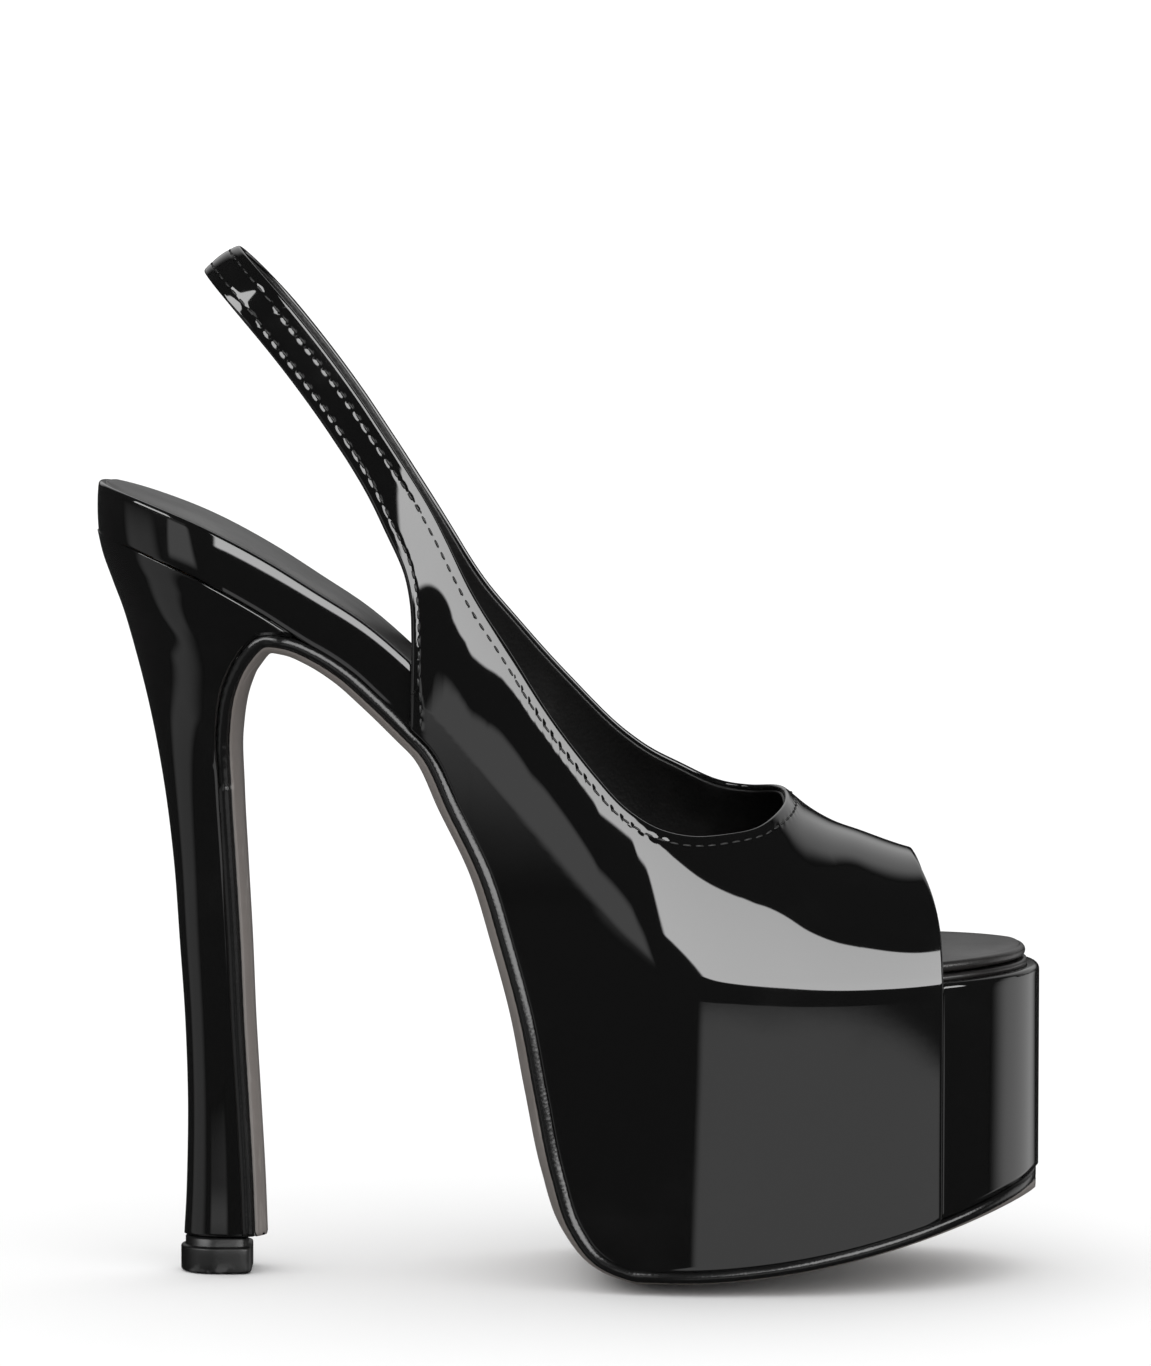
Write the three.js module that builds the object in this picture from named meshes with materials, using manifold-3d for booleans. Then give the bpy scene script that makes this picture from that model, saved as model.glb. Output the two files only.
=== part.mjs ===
// A right-foot slingback shoe: peep toe, covered platform, high Louis-built heel, patent leather.
// Millimetres, +X from heel to toe, +Z up, -Y the outer (lateral) side of the foot.
// The origin is the middle of the heel tip's face on the floor.
import * as THREE from 'three';
import { mergeVertices } from 'three/addons/utils/BufferGeometryUtils.js';
import Module from 'manifold-3d';

const wasm = await Module();
wasm.setup();

// ---- Overall sizes ----
const SHOE_LENGTH = 205.2;
const HEEL_OVERHANG = 26.5;       // heel back behind the middle of the heel tip
const SEAT_HEIGHT = 172.5;        // floor to the sock at the heel's back
const FOREFOOT_HEIGHT = 71.3;     // floor to the sock under the ball of the foot
const TOE_SPRING = 17.7;          // rise of the sole at the toe's tip
const BALL_HALF_WIDTH = 39.5;
const SEAT_HALF_WIDTH = 27.4;
const WAIST_HALF_WIDTH = 23.4;

// ---- Clearance and thicknesses ----
const GAP = 0.35;
const SOLE_SEAM = 0.45;           // gap between the sole and what stands on it
const UPPER = 1.2;
const LINING = 0.8;
const SOCK = 1.0;
const FOAM = 1.1;
const BOARD = 1.6;
const SHANK = 1.5;
const BAND = 1.0;
const SEAT_STACK = 10.5;          // sock top to the underside of the seat and waist, square to them
const SOLE_EDGE = 2.5;            // sole thickness at its edges
const BALL_CAMBER = 2.8;          // how much thicker the sole is along its middle at the ball
const WAIST_CAMBER = 2.6;         // and under the waist and on the breast
const COVER = 0.9;                // leather wrapped round the heel
const SOLE_INSET = 0.4;           // the sole's edge lies this far inside the walls above it
const SEAT_SET_IN = 1.1;          // the rim of the seat lies this far inside the quarters
const SOCK_LEAN = 1.8;            // the upper leans in over the sock and over the board by these
const BOARD_LEAN = 0.5;
const FOAM_TRIM = 1.5;            // the foam ends this far inside the sock

// ---- Heel, its tip and its fasteners ----
const TIP_LENGTH = 14.6;
const TIP_HALF_WIDTH = 7.4;
const TIP_HEIGHT = 7.6;
const SHAFT_HALF_WIDTH = 6.1;
const TUBE_RADIUS = 2.4;
const TUBE_BORE = 1.3;
const TUBE_TOP = 96;
const PIN_RADIUS = 0.9;
const NAIL_RADIUS = 0.9;
const SCREW_RADIUS = 2.0;
const RIVET_RADIUS = 1.6;
const SHANK_HALF_WIDTH = 6.0;

// ---- Slingback strap ----
const STRAP_WIDTH = 8.6;
const STRAP_SKIN = 0.8;
const STRAP_ELASTIC = 0.6;
const ROOT_RADIUS = 5.5;          // rounded root of the strap, on its pivot
const LOOP_RISE = 48.5;           // middle of the loop's back above the seat
const LOOP_HALF_WIDTH = 17;
const STRAP_BOW = 2.8;
const SWING_BACK = 38;            // degrees the strap falls back from rest
const SWING_FORWARD = 35;         // degrees it folds forward

// ---- Peep toe ----
const PEEP_FROM_TOE = 22.9;       // cut edge of the upper behind the toe's tip
const PEEP_LEAN = 5.5;            // how far the edge leans back at the ridge

const along = (share) => -HEEL_OVERHANG + share * SHOE_LENGTH;
const rise = (share) => FOREFOOT_HEIGHT + share * (SEAT_HEIGHT - FOREFOOT_HEIGHT);
const TOE_X = along(1);
const PEEP_X = TOE_X - PEEP_FROM_TOE;
const QUARTER_X = along(0.3367);  // back edge of the quarters

const clamp = THREE.MathUtils.clamp;
const lerp = THREE.MathUtils.lerp;
const smooth = THREE.MathUtils.smoothstep;
const radians = THREE.MathUtils.degToRad;

// Smooth line through [x, value] points: cubic pieces whose slopes weigh both neighbours.
function through(points) {
  const last = points.length - 1;
  const rate = (i) => (points[i + 1][1] - points[i][1]) / (points[i + 1][0] - points[i][0]);
  const slopes = points.map((point, i) => {
    if (i === 0) return rate(0);
    if (i === last) return rate(last - 1);
    const before = point[0] - points[i - 1][0];
    const after = points[i + 1][0] - point[0];
    return (rate(i - 1) * after + rate(i) * before) / (before + after);
  });
  return (x) => {
    if (x <= points[0][0]) return points[0][1] + slopes[0] * (x - points[0][0]);
    if (x >= points[last][0]) return points[last][1] + slopes[last] * (x - points[last][0]);
    let i = 0;
    while (x > points[i + 1][0]) i += 1;
    const span = points[i + 1][0] - points[i][0];
    const t = (x - points[i][0]) / span;
    return (1 + 2 * t) * (1 - t) ** 2 * points[i][1] + t * (1 - t) ** 2 * span * slopes[i]
      + t * t * (3 - 2 * t) * points[i + 1][1] + t * t * (t - 1) * span * slopes[i + 1];
  };
}

// Smooth curve through points of the side view, by a share 0 to 1 of its chord length.
function sideCurve(points) {
  const stations = [0];
  for (let i = 1; i < points.length; i += 1) {
    const step = Math.hypot(points[i][0] - points[i - 1][0], points[i][1] - points[i - 1][1]);
    stations.push(stations[i - 1] + step);
  }
  const total = stations[stations.length - 1];
  const x = through(points.map((point, i) => [stations[i] / total, point[0]]));
  const z = through(points.map((point, i) => [stations[i] / total, point[1]]));
  return (share) => [x(share), z(share)];
}

const inverseLerp = (from, to, value) => (value - from) / (to - from);
const range = (count) => Array.from({ length: count + 1 }, (_, i) => i / count);

// ---- Lines of the last, seen from the side ----
// Top of the sock along the middle of the foot: seat, arch, ball and toe.
const footLine = through([
  [along(-0.02), rise(1.02)], [along(0.061), rise(0.965)], [along(0.115), rise(0.92)],
  [along(0.185), rise(0.845)], [along(0.232), rise(0.785)], [along(0.29), rise(0.707)],
  [along(0.337), rise(0.624)], [along(0.383), rise(0.532)], [along(0.431), rise(0.42)],
  [along(0.48), rise(0.305)], [along(0.529), rise(0.188)], [along(0.568), rise(0.101)],
  [along(0.602), rise(0.04)], [along(0.636), rise(0.008)], [along(0.675), rise(0)],
  [along(1.02), rise(0)],
]);
// Height of a layer that lies the given depth below the sock's top, square to it.
function layer(x, depth) {
  const slope = footLine(x + 0.5) - footLine(x - 0.5);
  return footLine(x) - depth * Math.sqrt(1 + slope * slope);
}
const LINING_EDGE = SOCK + GAP + FOAM + GAP + BOARD;
const CORE_TOP = LINING_EDGE + GAP;
const BAND_FOOT = SEAT_STACK - GAP;
const feather = (x) => layer(x, LINING_EDGE);

// Top of the foot along its ridge; behind the throat it is the instep that the shoe leaves bare.
const ridgeLine = through([
  [along(0.33), rise(1.17)], [along(0.373), rise(1.05)], [along(0.42), rise(0.896)],
  [along(0.47), rise(0.768)], [along(0.52), rise(0.65)], [along(0.568), rise(0.555)],
  [along(0.617), rise(0.472)], [along(0.655), rise(0.414)], [along(0.694), rise(0.369)],
  [along(0.731), rise(0.329)], [along(0.753), rise(0.293)], [along(0.777), rise(0.264)],
  [along(0.811), rise(0.239)], [along(0.863), rise(0.204)], [along(0.9), rise(0.19)],
]);
// How far the ridge lies towards the inner side of the foot.
const ridgeShift = through([
  [along(0.33), 0], [along(0.5), 4], [along(0.65), 9], [along(0.73), 8], [along(0.9), 3.5],
]);

// ---- Outline of the foot, seen from above ----
const SEAT_CENTRE = along(0.139);
const TOE_CENTRE = along(0.704);
const SEAT_ROUND = 2.3;
const TOE_ROUND = 2.15;
// Half width at a share of the way from the waist to the ball.
const widening = (share) => lerp(WAIST_HALF_WIDTH, BALL_HALF_WIDTH, share);
const outerSide = through([
  [SEAT_CENTRE, SEAT_HALF_WIDTH],
  [along(0.202), SEAT_HALF_WIDTH - 1.1],
  [along(0.275), WAIST_HALF_WIDTH + 1.2],
  [along(0.34), WAIST_HALF_WIDTH + 0.8],
  [along(0.397), widening(0.2)],
  [along(0.46), widening(0.44)],
  [along(0.529), widening(0.72)],
  [along(0.592), widening(0.93)],
  [along(0.655), BALL_HALF_WIDTH],
  [TOE_CENTRE, BALL_HALF_WIDTH],
]);
const innerSide = through([
  [SEAT_CENTRE, SEAT_HALF_WIDTH],
  [along(0.202), SEAT_HALF_WIDTH - 1.7],
  [along(0.275), WAIST_HALF_WIDTH - 0.3],
  [along(0.34), WAIST_HALF_WIDTH - 1.4],
  [along(0.397), WAIST_HALF_WIDTH + 0.5],
  [along(0.46), widening(0.28)],
  [along(0.529), widening(0.6)],
  [along(0.592), widening(0.86)],
  [along(0.655), BALL_HALF_WIDTH],
  [TOE_CENTRE, BALL_HALF_WIDTH],
]);
const TOE_TIP_SHIFT = 3.5;        // the toe's tip lies this far to the inner side
const toeLean = (x) => TOE_TIP_SHIFT * clamp((x - TOE_CENTRE) / (TOE_X - TOE_CENTRE), 0, 1) ** 1.5;

// Signed y of the outline at x, on side -1 (outer) or +1 (inner), moved in by the inset.
function outline(x, side, inset = 0) {
  const plain = (side < 0 ? outerSide : innerSide)(clamp(x, SEAT_CENTRE, TOE_CENTRE)) - inset;
  let round = 1;
  if (x < SEAT_CENTRE) {
    const reach = clamp((SEAT_CENTRE - x) / (SEAT_CENTRE + HEEL_OVERHANG + SEAT_SET_IN - inset), 0, 1);
    round = (1 - reach ** SEAT_ROUND) ** (1 / SEAT_ROUND);
  }
  if (x > TOE_CENTRE) {
    const reach = clamp((x - TOE_CENTRE) / (TOE_X - TOE_CENTRE - inset), 0, 1);
    round = (1 - reach ** TOE_ROUND) ** (1 / TOE_ROUND);
  }
  return toeLean(x) + side * plain * round;
}

// ---- Sole line, seen from the side: down the heel's breast, under the waist, platform and toe ----
const TIP_BACK = -8.2;
const TIP_TOP = TIP_HEIGHT + GAP;
const TIP_BEHIND = 0.2;           // the top piece's back lies this far behind the heel's
const SHAFT_FRONT = TIP_BACK - TIP_BEHIND + TIP_LENGTH - 1.3;
const heelLift = (share) => lerp(TIP_TOP, layer(along(0.212), SEAT_STACK), share);
const breastPoints = [
  [SHAFT_FRONT, TIP_TOP],
  [SHAFT_FRONT - 0.4, heelLift(0.087)],
  [SHAFT_FRONT - 1.3, heelLift(0.218)],
  [SHAFT_FRONT - 2.3, heelLift(0.353)],
  [SHAFT_FRONT - 3, heelLift(0.488)],
  [SHAFT_FRONT - 3.9, heelLift(0.616)],
  [SHAFT_FRONT - 4.7, heelLift(0.736)],
  [SHAFT_FRONT - 4.9, heelLift(0.833)],
  [along(0.138), heelLift(0.912)],
  [along(0.153), heelLift(0.961)],
  [along(0.178), layer(along(0.178), SEAT_STACK + 4.2)],
  [along(0.212), layer(along(0.212), SEAT_STACK)],
];
const backPoints = [
  [TIP_BACK, TIP_TOP],
  [TIP_BACK + 0.6, heelLift(0.087)],
  [TIP_BACK + 0.9, heelLift(0.218)],
  [TIP_BACK + 0.4, heelLift(0.353)],
  [TIP_BACK - 0.7, heelLift(0.482)],
  [TIP_BACK - 1.9, heelLift(0.614)],
  [TIP_BACK - 4, heelLift(0.746)],
  [along(0.054), heelLift(0.877)],
  [along(0.032), heelLift(1.008)],
  [along(0.017), heelLift(1.074)],
  [along(0.007), heelLift(1.118)],
  [along(0.001), layer(along(0.001), SEAT_STACK)],
];
const heelStations = breastPoints.map((_, i) => i / (breastPoints.length - 1));
const byStation = (points, axis) => through(points.map((point, i) => [heelStations[i], point[axis]]));
const breastX = byStation(breastPoints, 0);
const breastZ = byStation(breastPoints, 1);
const backX = byStation(backPoints, 0);
const backZ = byStation(backPoints, 1);
// Half width at a share of the way from the shaft to the seat.
const flare = (share) => lerp(SHAFT_HALF_WIDTH, SEAT_HALF_WIDTH, share);
const heelWidths = [
  SHAFT_HALF_WIDTH + 0.8, SHAFT_HALF_WIDTH + 0.4, SHAFT_HALF_WIDTH, SHAFT_HALF_WIDTH,
  SHAFT_HALF_WIDTH + 0.4, SHAFT_HALF_WIDTH + 1.2, flare(0.14), flare(0.3), flare(0.58), flare(0.75),
  flare(0.87), SEAT_HALF_WIDTH - SEAT_SET_IN,
];
const heelHalfWidth = through(heelWidths.map((half, i) => [heelStations[i], half]));

// Half width of the heel as a share of its widest, from its back (0) to its breast (1).
function heelShape(share, station) {
  const widest = lerp(1, 0.6, smooth(station, 0.55, 1));
  if (share < widest) return Math.sqrt(1 - (1 - share / widest) ** 2);
  return 1 - 0.05 * ((share - widest) / (1 - widest || 1)) ** 2;
}

const WAIST_START = along(0.212);
const PLATFORM_START = along(0.353);
const BALL_FLAT_START = along(0.568);
const BALL_FLAT_END = along(0.6165);
const SPRING_CURVE = 1.75;
const SOLE_MIDDLE = SOLE_EDGE + BALL_CAMBER;
function forefootSole(x) {
  const share = Math.max(0, x - BALL_FLAT_END) / (TOE_X - BALL_FLAT_END);
  return SOLE_MIDDLE + TOE_SPRING * share ** SPRING_CURVE;
}
const rearPoint = (share, level) => [along(share), level * FOREFOOT_HEIGHT];
const soleLine = sideCurve([
  ...breastPoints.slice(0, -1).map(([x, z]) => [x, z]),
  [along(0.205), layer(along(0.205), SEAT_STACK + 1.2)],
  ...[0.235, 0.265, 0.3, 0.335, 0.353].map((share) => [along(share), layer(along(share), SEAT_STACK)]),
  rearPoint(0.3855, 1.454),
  rearPoint(0.4167, 1.268),
  rearPoint(0.4415, 1.038),
  rearPoint(0.4605, 0.834),
  rearPoint(0.4766, 0.593),
  rearPoint(0.494, 0.352),
  rearPoint(0.5117, 0.2),
  rearPoint(0.5336, 0.117),
  ...[BALL_FLAT_START, BALL_FLAT_END].map((x) => [x, SOLE_MIDDLE]),
  ...[0.65, 0.7, 0.75, 0.8, 0.85, 0.9, 0.95, 0.997].map(along).map((x) => [x, forefootSole(x)]),
]);
const SOLE_STEPS = 72;
// The forefoot is worked out exactly, so that the sole is truly flat under the ball.
const soleStations = range(SOLE_STEPS).map((share) => soleLine(share)).map(([x, z], i) => {
  if (i < SOLE_STEPS / 2) return [x, z];
  return [x, x > BALL_FLAT_START ? forefootSole(x) : Math.max(z, SOLE_MIDDLE)];
});
const platformStations = soleStations.filter(([x, z], i) => i > SOLE_STEPS / 3 && x >= PLATFORM_START);

// Height of the sole's inner face at x, from the waist forward.
function soleTop(x) {
  const line = soleStations.filter((_, i) => i > SOLE_STEPS / 3);
  let i = 0;
  while (i < line.length - 2 && x > line[i + 1][0]) i += 1;
  return lerp(line[i][1], line[i + 1][1], inverseLerp(line[i][0], line[i + 1][0], x));
}

// Height at x of what stands on the sole with the usual gap, square to it.
function aboveSole(x) {
  const slope = soleTop(x + 0.5) - soleTop(x - 0.5);
  return soleTop(x) + SOLE_SEAM * Math.sqrt(1 + slope * slope);
}

// ---- Mesh helpers ----
// Closed body from rings of points. Every ring has the same number of points, and each end is capped by
// quads that join its first half to its second half, point by point.
function bodyFromRings(rings) {
  const size = rings[0].length;
  const positions = rings.flat().flatMap(({ x, y, z }) => [x, y, z]);
  const index = [];
  const quad = (a, b, c, d) => index.push(a, b, c, a, c, d);
  for (let ring = 0; ring < rings.length - 1; ring += 1) {
    for (let i = 0; i < size; i += 1) {
      const next = (i + 1) % size;
      quad(ring * size + i, ring * size + next, (ring + 1) * size + next, (ring + 1) * size + i);
    }
  }
  const end = (rings.length - 1) * size;
  for (let i = 0; i < size / 2 - 1; i += 1) {
    const across = [size - 1 - i, size - 2 - i];
    quad(across[0], across[1], i + 1, i);
    quad(end + i, end + i + 1, end + across[1], end + across[0]);
  }
  return tidy(positions, index);
}

// Merge equal corners, drop empty triangles and turn the body so that its faces point out.
function tidy(positions, index) {
  let geometry = new THREE.BufferGeometry();
  geometry.setAttribute('position', new THREE.Float32BufferAttribute(positions, 3));
  geometry.setIndex(index);
  geometry = mergeVertices(geometry, 1e-3);
  const kept = [];
  const corners = geometry.index.array;
  for (let i = 0; i < corners.length; i += 3) {
    const [a, b, c] = [corners[i], corners[i + 1], corners[i + 2]];
    if (a !== b && b !== c && c !== a) kept.push(a, b, c);
  }
  geometry.setIndex(signedVolume(geometry, kept) < 0 ? flipped(kept) : kept);
  geometry.computeVertexNormals();
  return geometry;
}

function flipped(index) {
  const turned = [];
  for (let i = 0; i < index.length; i += 3) turned.push(index[i], index[i + 2], index[i + 1]);
  return turned;
}

function signedVolume(geometry, index) {
  const position = geometry.attributes.position;
  const corner = [new THREE.Vector3(), new THREE.Vector3(), new THREE.Vector3()];
  let sum = 0;
  for (let i = 0; i < index.length; i += 3) {
    corner.forEach((point, k) => point.fromBufferAttribute(position, index[i + k]));
    sum += corner[0].dot(corner[1].clone().cross(corner[2]));
  }
  return sum;
}

// Sheet with thickness: outer and inner grids of points share their rims.
function shell(outer, inner) {
  const rings = outer.map((row, i) => [...row, ...inner[i].slice().reverse()]);
  return bodyFromRings(rings);
}

function solidFrom(geometry) {
  const plain = new THREE.BufferGeometry();
  plain.setAttribute('position', geometry.attributes.position.clone());
  if (geometry.index) plain.setIndex(geometry.index.clone());
  const merged = mergeVertices(plain, 1e-4);
  return new wasm.Manifold(new wasm.Mesh({
    numProp: 3,
    vertProperties: new Float32Array(merged.attributes.position.array),
    triVerts: new Uint32Array(merged.index.array),
  }));
}

function geometryFrom(solid) {
  const mesh = solid.getMesh();
  const geometry = new THREE.BufferGeometry();
  geometry.setAttribute('position', new THREE.BufferAttribute(new Float32Array(mesh.vertProperties), 3));
  geometry.setIndex(new THREE.BufferAttribute(new Uint32Array(mesh.triVerts), 1));
  geometry.computeVertexNormals();
  return geometry;
}

function cut(geometry, tools) {
  return geometryFrom(tools.reduce((left, tool) => left.subtract(solidFrom(tool)), solidFrom(geometry)));
}

// Round rod or tube along a straight line between two points.
function rod(from, to, profile, sides = 16) {
  const axis = new THREE.Vector3().subVectors(to, from);
  const length = axis.length();
  const geometry = new THREE.LatheGeometry(profile(length).map(([r, h]) => new THREE.Vector2(r, h)), sides);
  const turn = new THREE.Quaternion().setFromUnitVectors(new THREE.Vector3(0, 1, 0), axis.normalize());
  return geometry.applyQuaternion(turn).translate(from.x, from.y, from.z);
}
const plainRod = (radius) => (length) => [[0, 0], [radius, 0], [radius, length], [0, length]];
const headedRod = (radius, head, depth) => (length) => [
  [0, 0], [radius, 0], [radius, length - depth], [head, length - depth], [head, length], [0, length],
];
const hollowRod = (radius, bore) => (length) => [
  [bore, 0], [radius, 0], [radius, length], [bore, length], [bore, 0],
];
const point = (x, y, z) => new THREE.Vector3(x, y, z);

// ---- Insole parts: slabs that follow the foot line ----
// Stations along the foot that every layer shares, closer together at the rounded ends.
const INSOLE_STATIONS = range(44).map((share) => along((1 - Math.cos(Math.PI * share)) / 2));
// Slab between two depths, inside the outline by an inset that may differ at seat and forefoot.
function slab(topDepth, footDepth, fromX, toX, inset) {
  const across = 2;
  const inside = INSOLE_STATIONS.filter((x) => x > fromX + 0.4 && x < toX - 0.4);
  const rings = [fromX, ...inside, toX].map((x) => {
    const sides = [-1, 1].map((side) => outline(x, side, inset(x)));
    const top = range(across).map((t) => point(x, lerp(sides[0], sides[1], t), layer(x, topDepth)));
    const foot = range(across).map((t) => point(x, lerp(sides[1], sides[0], t), layer(x, footDepth)));
    return [...top, ...foot];
  });
  return bodyFromRings(rings);
}
const SEAT_INSET = SEAT_SET_IN + BAND + GAP;
const FOREFOOT_INSET = UPPER + GAP + LINING + GAP;
const stackInset = (x) => lerp(SEAT_INSET, FOREFOOT_INSET, smooth(x, QUARTER_X - 6, QUARTER_X - 1));
const seatEnd = (inset) => -HEEL_OVERHANG - SEAT_SET_IN + inset;

const leaned = (lean) => (x) => stackInset(x) + lean * smooth(x, QUARTER_X - 3, QUARTER_X + 6);
const BOARD_TOP = SOCK + GAP + FOAM + GAP;
function insoleLayer(top, thickness, lean, trim = 0) {
  const inset = (x) => leaned(lean)(x) + trim;
  const toe = TOE_X - FOREFOOT_INSET - lean - trim;
  return slab(top, top + thickness, seatEnd(SEAT_INSET + trim), toe, inset);
}
const sockGeometry = () => insoleLayer(0, SOCK, SOCK_LEAN);
const foamGeometry = () => insoleLayer(SOCK + GAP, FOAM, SOCK_LEAN, FOAM_TRIM);
const boardBody = () => insoleLayer(BOARD_TOP, BOARD, BOARD_LEAN);
const seatFillerBody = () => slab(
  CORE_TOP, BAND_FOOT, seatEnd(SEAT_INSET), PLATFORM_START - GAP, () => SEAT_INSET,
);

// ---- Steel shank: a bowed strip let into the filler, riveted to the board ----
const SHANK_FROM = along(0.16);
const SHANK_TO = along(0.34);
function shankBody(grow = 0) {
  const half = SHANK_HALF_WIDTH + grow;
  const rings = range(10).map((share) => {
    const x = lerp(SHANK_FROM - grow, SHANK_TO + grow, share);
    const top = layer(x, CORE_TOP - grow);
    const foot = layer(x, CORE_TOP + SHANK + grow);
    return [point(x, -half, top), point(x, half, top), point(x, half, foot), point(x, -half, foot)];
  });
  return bodyFromRings(rings);
}
// Line square to the foot line at x, between two depths.
function square(x, y, fromDepth, toDepth) {
  const slope = footLine(x + 0.5) - footLine(x - 0.5);
  const scale = Math.sqrt(1 + slope * slope);
  const at = (depth) => point(x + slope * depth / scale, y, footLine(x) - depth / scale);
  return [at(toDepth), at(fromDepth)];
}
const RIVET_X = { rear: along(0.2), front: along(0.315) };
const RIVET_TOP = BOARD_TOP + GAP;
function rivetGeometry(x, grow = 0) {
  const [foot, top] = square(x, 0, RIVET_TOP - grow, CORE_TOP + SHANK + 1.4 + grow);
  return rod(foot, top, plainRod(RIVET_RADIUS + grow), 12);
}

// ---- Heel: moulded core, wrapped cover, steel tube, tip, screw and nails ----
// Point on the heel, from back (0) to breast (1), from tip (0) to seat (1), moved in by the inset.
function heelPoint(share, s, side, inset) {
  const length = Math.hypot(breastX(s) - backX(s), breastZ(s) - backZ(s));
  const a = lerp(inset / length, 1, share);
  const x = lerp(backX(s), breastX(s), a);
  const bulge = layer(x, SEAT_STACK) - lerp(layer(backX(1), SEAT_STACK), layer(breastX(1), SEAT_STACK),
    inverseLerp(backX(1), breastX(1), x));
  const z = lerp(backZ(s), breastZ(s), a) + bulge * smooth(s, 0.6, 1);
  const half = Math.max(0, heelHalfWidth(s) - inset) * heelShape(share, s);
  return point(x, side * half, z);
}
const arcShares = (steps) => range(steps).map((t) => 1 - Math.cos(t * Math.PI / 2));
const HEEL_ROWS = 22;
const HEEL_FRONT = 0.97;          // the heel stops this share of the way to the sole's breast
function heelRow(station, inset) {
  const shares = arcShares(6).map((share) => share * HEEL_FRONT);
  const outer = shares.slice().reverse().map((share) => heelPoint(share, station, -1, inset));
  const inner = shares.slice(1).map((share) => heelPoint(share, station, 1, inset));
  return [...outer, ...inner];
}
const heelCoreBody = () => bodyFromRings(range(HEEL_ROWS).map((s) => heelRow(s, COVER + GAP)));
const heelCoverGeometry = () => {
  const rows = range(HEEL_ROWS);
  return shell(rows.map((s) => heelRow(s, 0)), rows.map((s) => heelRow(s, COVER)));
};
const tubeFoot = point(-0.4, 0, TIP_TOP + 0.4);
const tubeTop = point(-2.6, 0, TUBE_TOP);
const tubeGeometry = () => rod(tubeFoot, tubeTop, hollowRod(TUBE_RADIUS, TUBE_BORE), 20);
const tubeHole = () => {
  const lean = new THREE.Vector3().subVectors(tubeTop, tubeFoot).normalize();
  const foot = tubeFoot.clone().addScaledVector(lean, -6);
  return rod(foot, tubeTop.clone().addScaledVector(lean, GAP), plainRod(TUBE_RADIUS + GAP), 20);
};

// The tip: a D-shaped tread with a step that meets the heel, on a pin pressed into the tube.
function tipShape(grow) {
  const half = TIP_HALF_WIDTH + grow;
  const back = TIP_BACK - TIP_BEHIND - grow;
  const front = back + TIP_LENGTH + 2 * grow;
  const shape = new THREE.Shape();
  shape.moveTo(front, -half * 0.96);
  shape.lineTo(front, half * 0.96);
  shape.lineTo(back + half, half);
  shape.absarc(back + half, 0, half, Math.PI / 2, 3 * Math.PI / 2, false);
  return shape;
}
const TREAD_HEIGHT = 5.6;
const TREAD_LIP = 0.5;            // the tread stands out and the neck is drawn in by this
const PIN_HEAD = 2.2;
const PIN_HEAD_DEPTH = 1.4;
const PIN_FOOT = 3;
const PIN_TOP = 30;
const PIN_X = -0.4;               // the pin leans back from here
const PIN_TOP_X = -0.9;
function topPieceGeometry() {
  const raise = (grow, depth) => solidFrom(
    new THREE.ExtrudeGeometry(tipShape(grow), { depth, bevelEnabled: false, curveSegments: 14 }),
  );
  const joined = raise(TREAD_LIP, TREAD_HEIGHT).add(raise(-TREAD_LIP, TIP_HEIGHT));
  const bore = (top, radius) => solidFrom(
    rod(point(PIN_X, 0, PIN_FOOT - GAP), point(PIN_X, 0, top), plainRod(radius), 16),
  );
  const hole = bore(TIP_HEIGHT + 1, PIN_RADIUS + 0.3);
  const headHole = bore(PIN_FOOT + 1.6 + GAP, PIN_HEAD + GAP);
  return geometryFrom(joined.subtract(hole).subtract(headHole));
}
function pinGeometry() {
  const profile = headedRod(PIN_RADIUS, PIN_HEAD, PIN_HEAD_DEPTH);
  return rod(point(PIN_TOP_X, 0, PIN_TOP), point(PIN_X, 0, PIN_FOOT), profile, 16);
}

const SCREW_SPOT = [along(0.15), 0];
const nailSpots = [
  [along(0.078), -11], [along(0.078), 11], [along(0.165), -16], [along(0.165), 16],
];
const NAIL_LENGTH = 11;
const SCREW_LENGTH = 17;
function fastenerGeometry([x, y], radius, length, headHeight, grow = 0) {
  const [foot, top] = square(x, y, BOARD_TOP + GAP - grow, BOARD_TOP + GAP + length + grow);
  const head = radius * 1.7 + grow;
  return rod(foot, top, headedRod(radius + grow, head, headHeight + 2 * grow), 12);
}
const nailGeometry = (spot, grow = 0) => fastenerGeometry(spot, NAIL_RADIUS, NAIL_LENGTH, 0.7, grow);
const screwGeometry = (grow = 0) => fastenerGeometry(SCREW_SPOT, SCREW_RADIUS, SCREW_LENGTH, 1.1, grow);
const seatHoles = () => [...nailSpots.map((spot) => nailGeometry(spot, GAP)), screwGeometry(GAP)];
const rivetHoles = () => Object.values(RIVET_X).map((x) => rivetGeometry(x, GAP));

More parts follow.
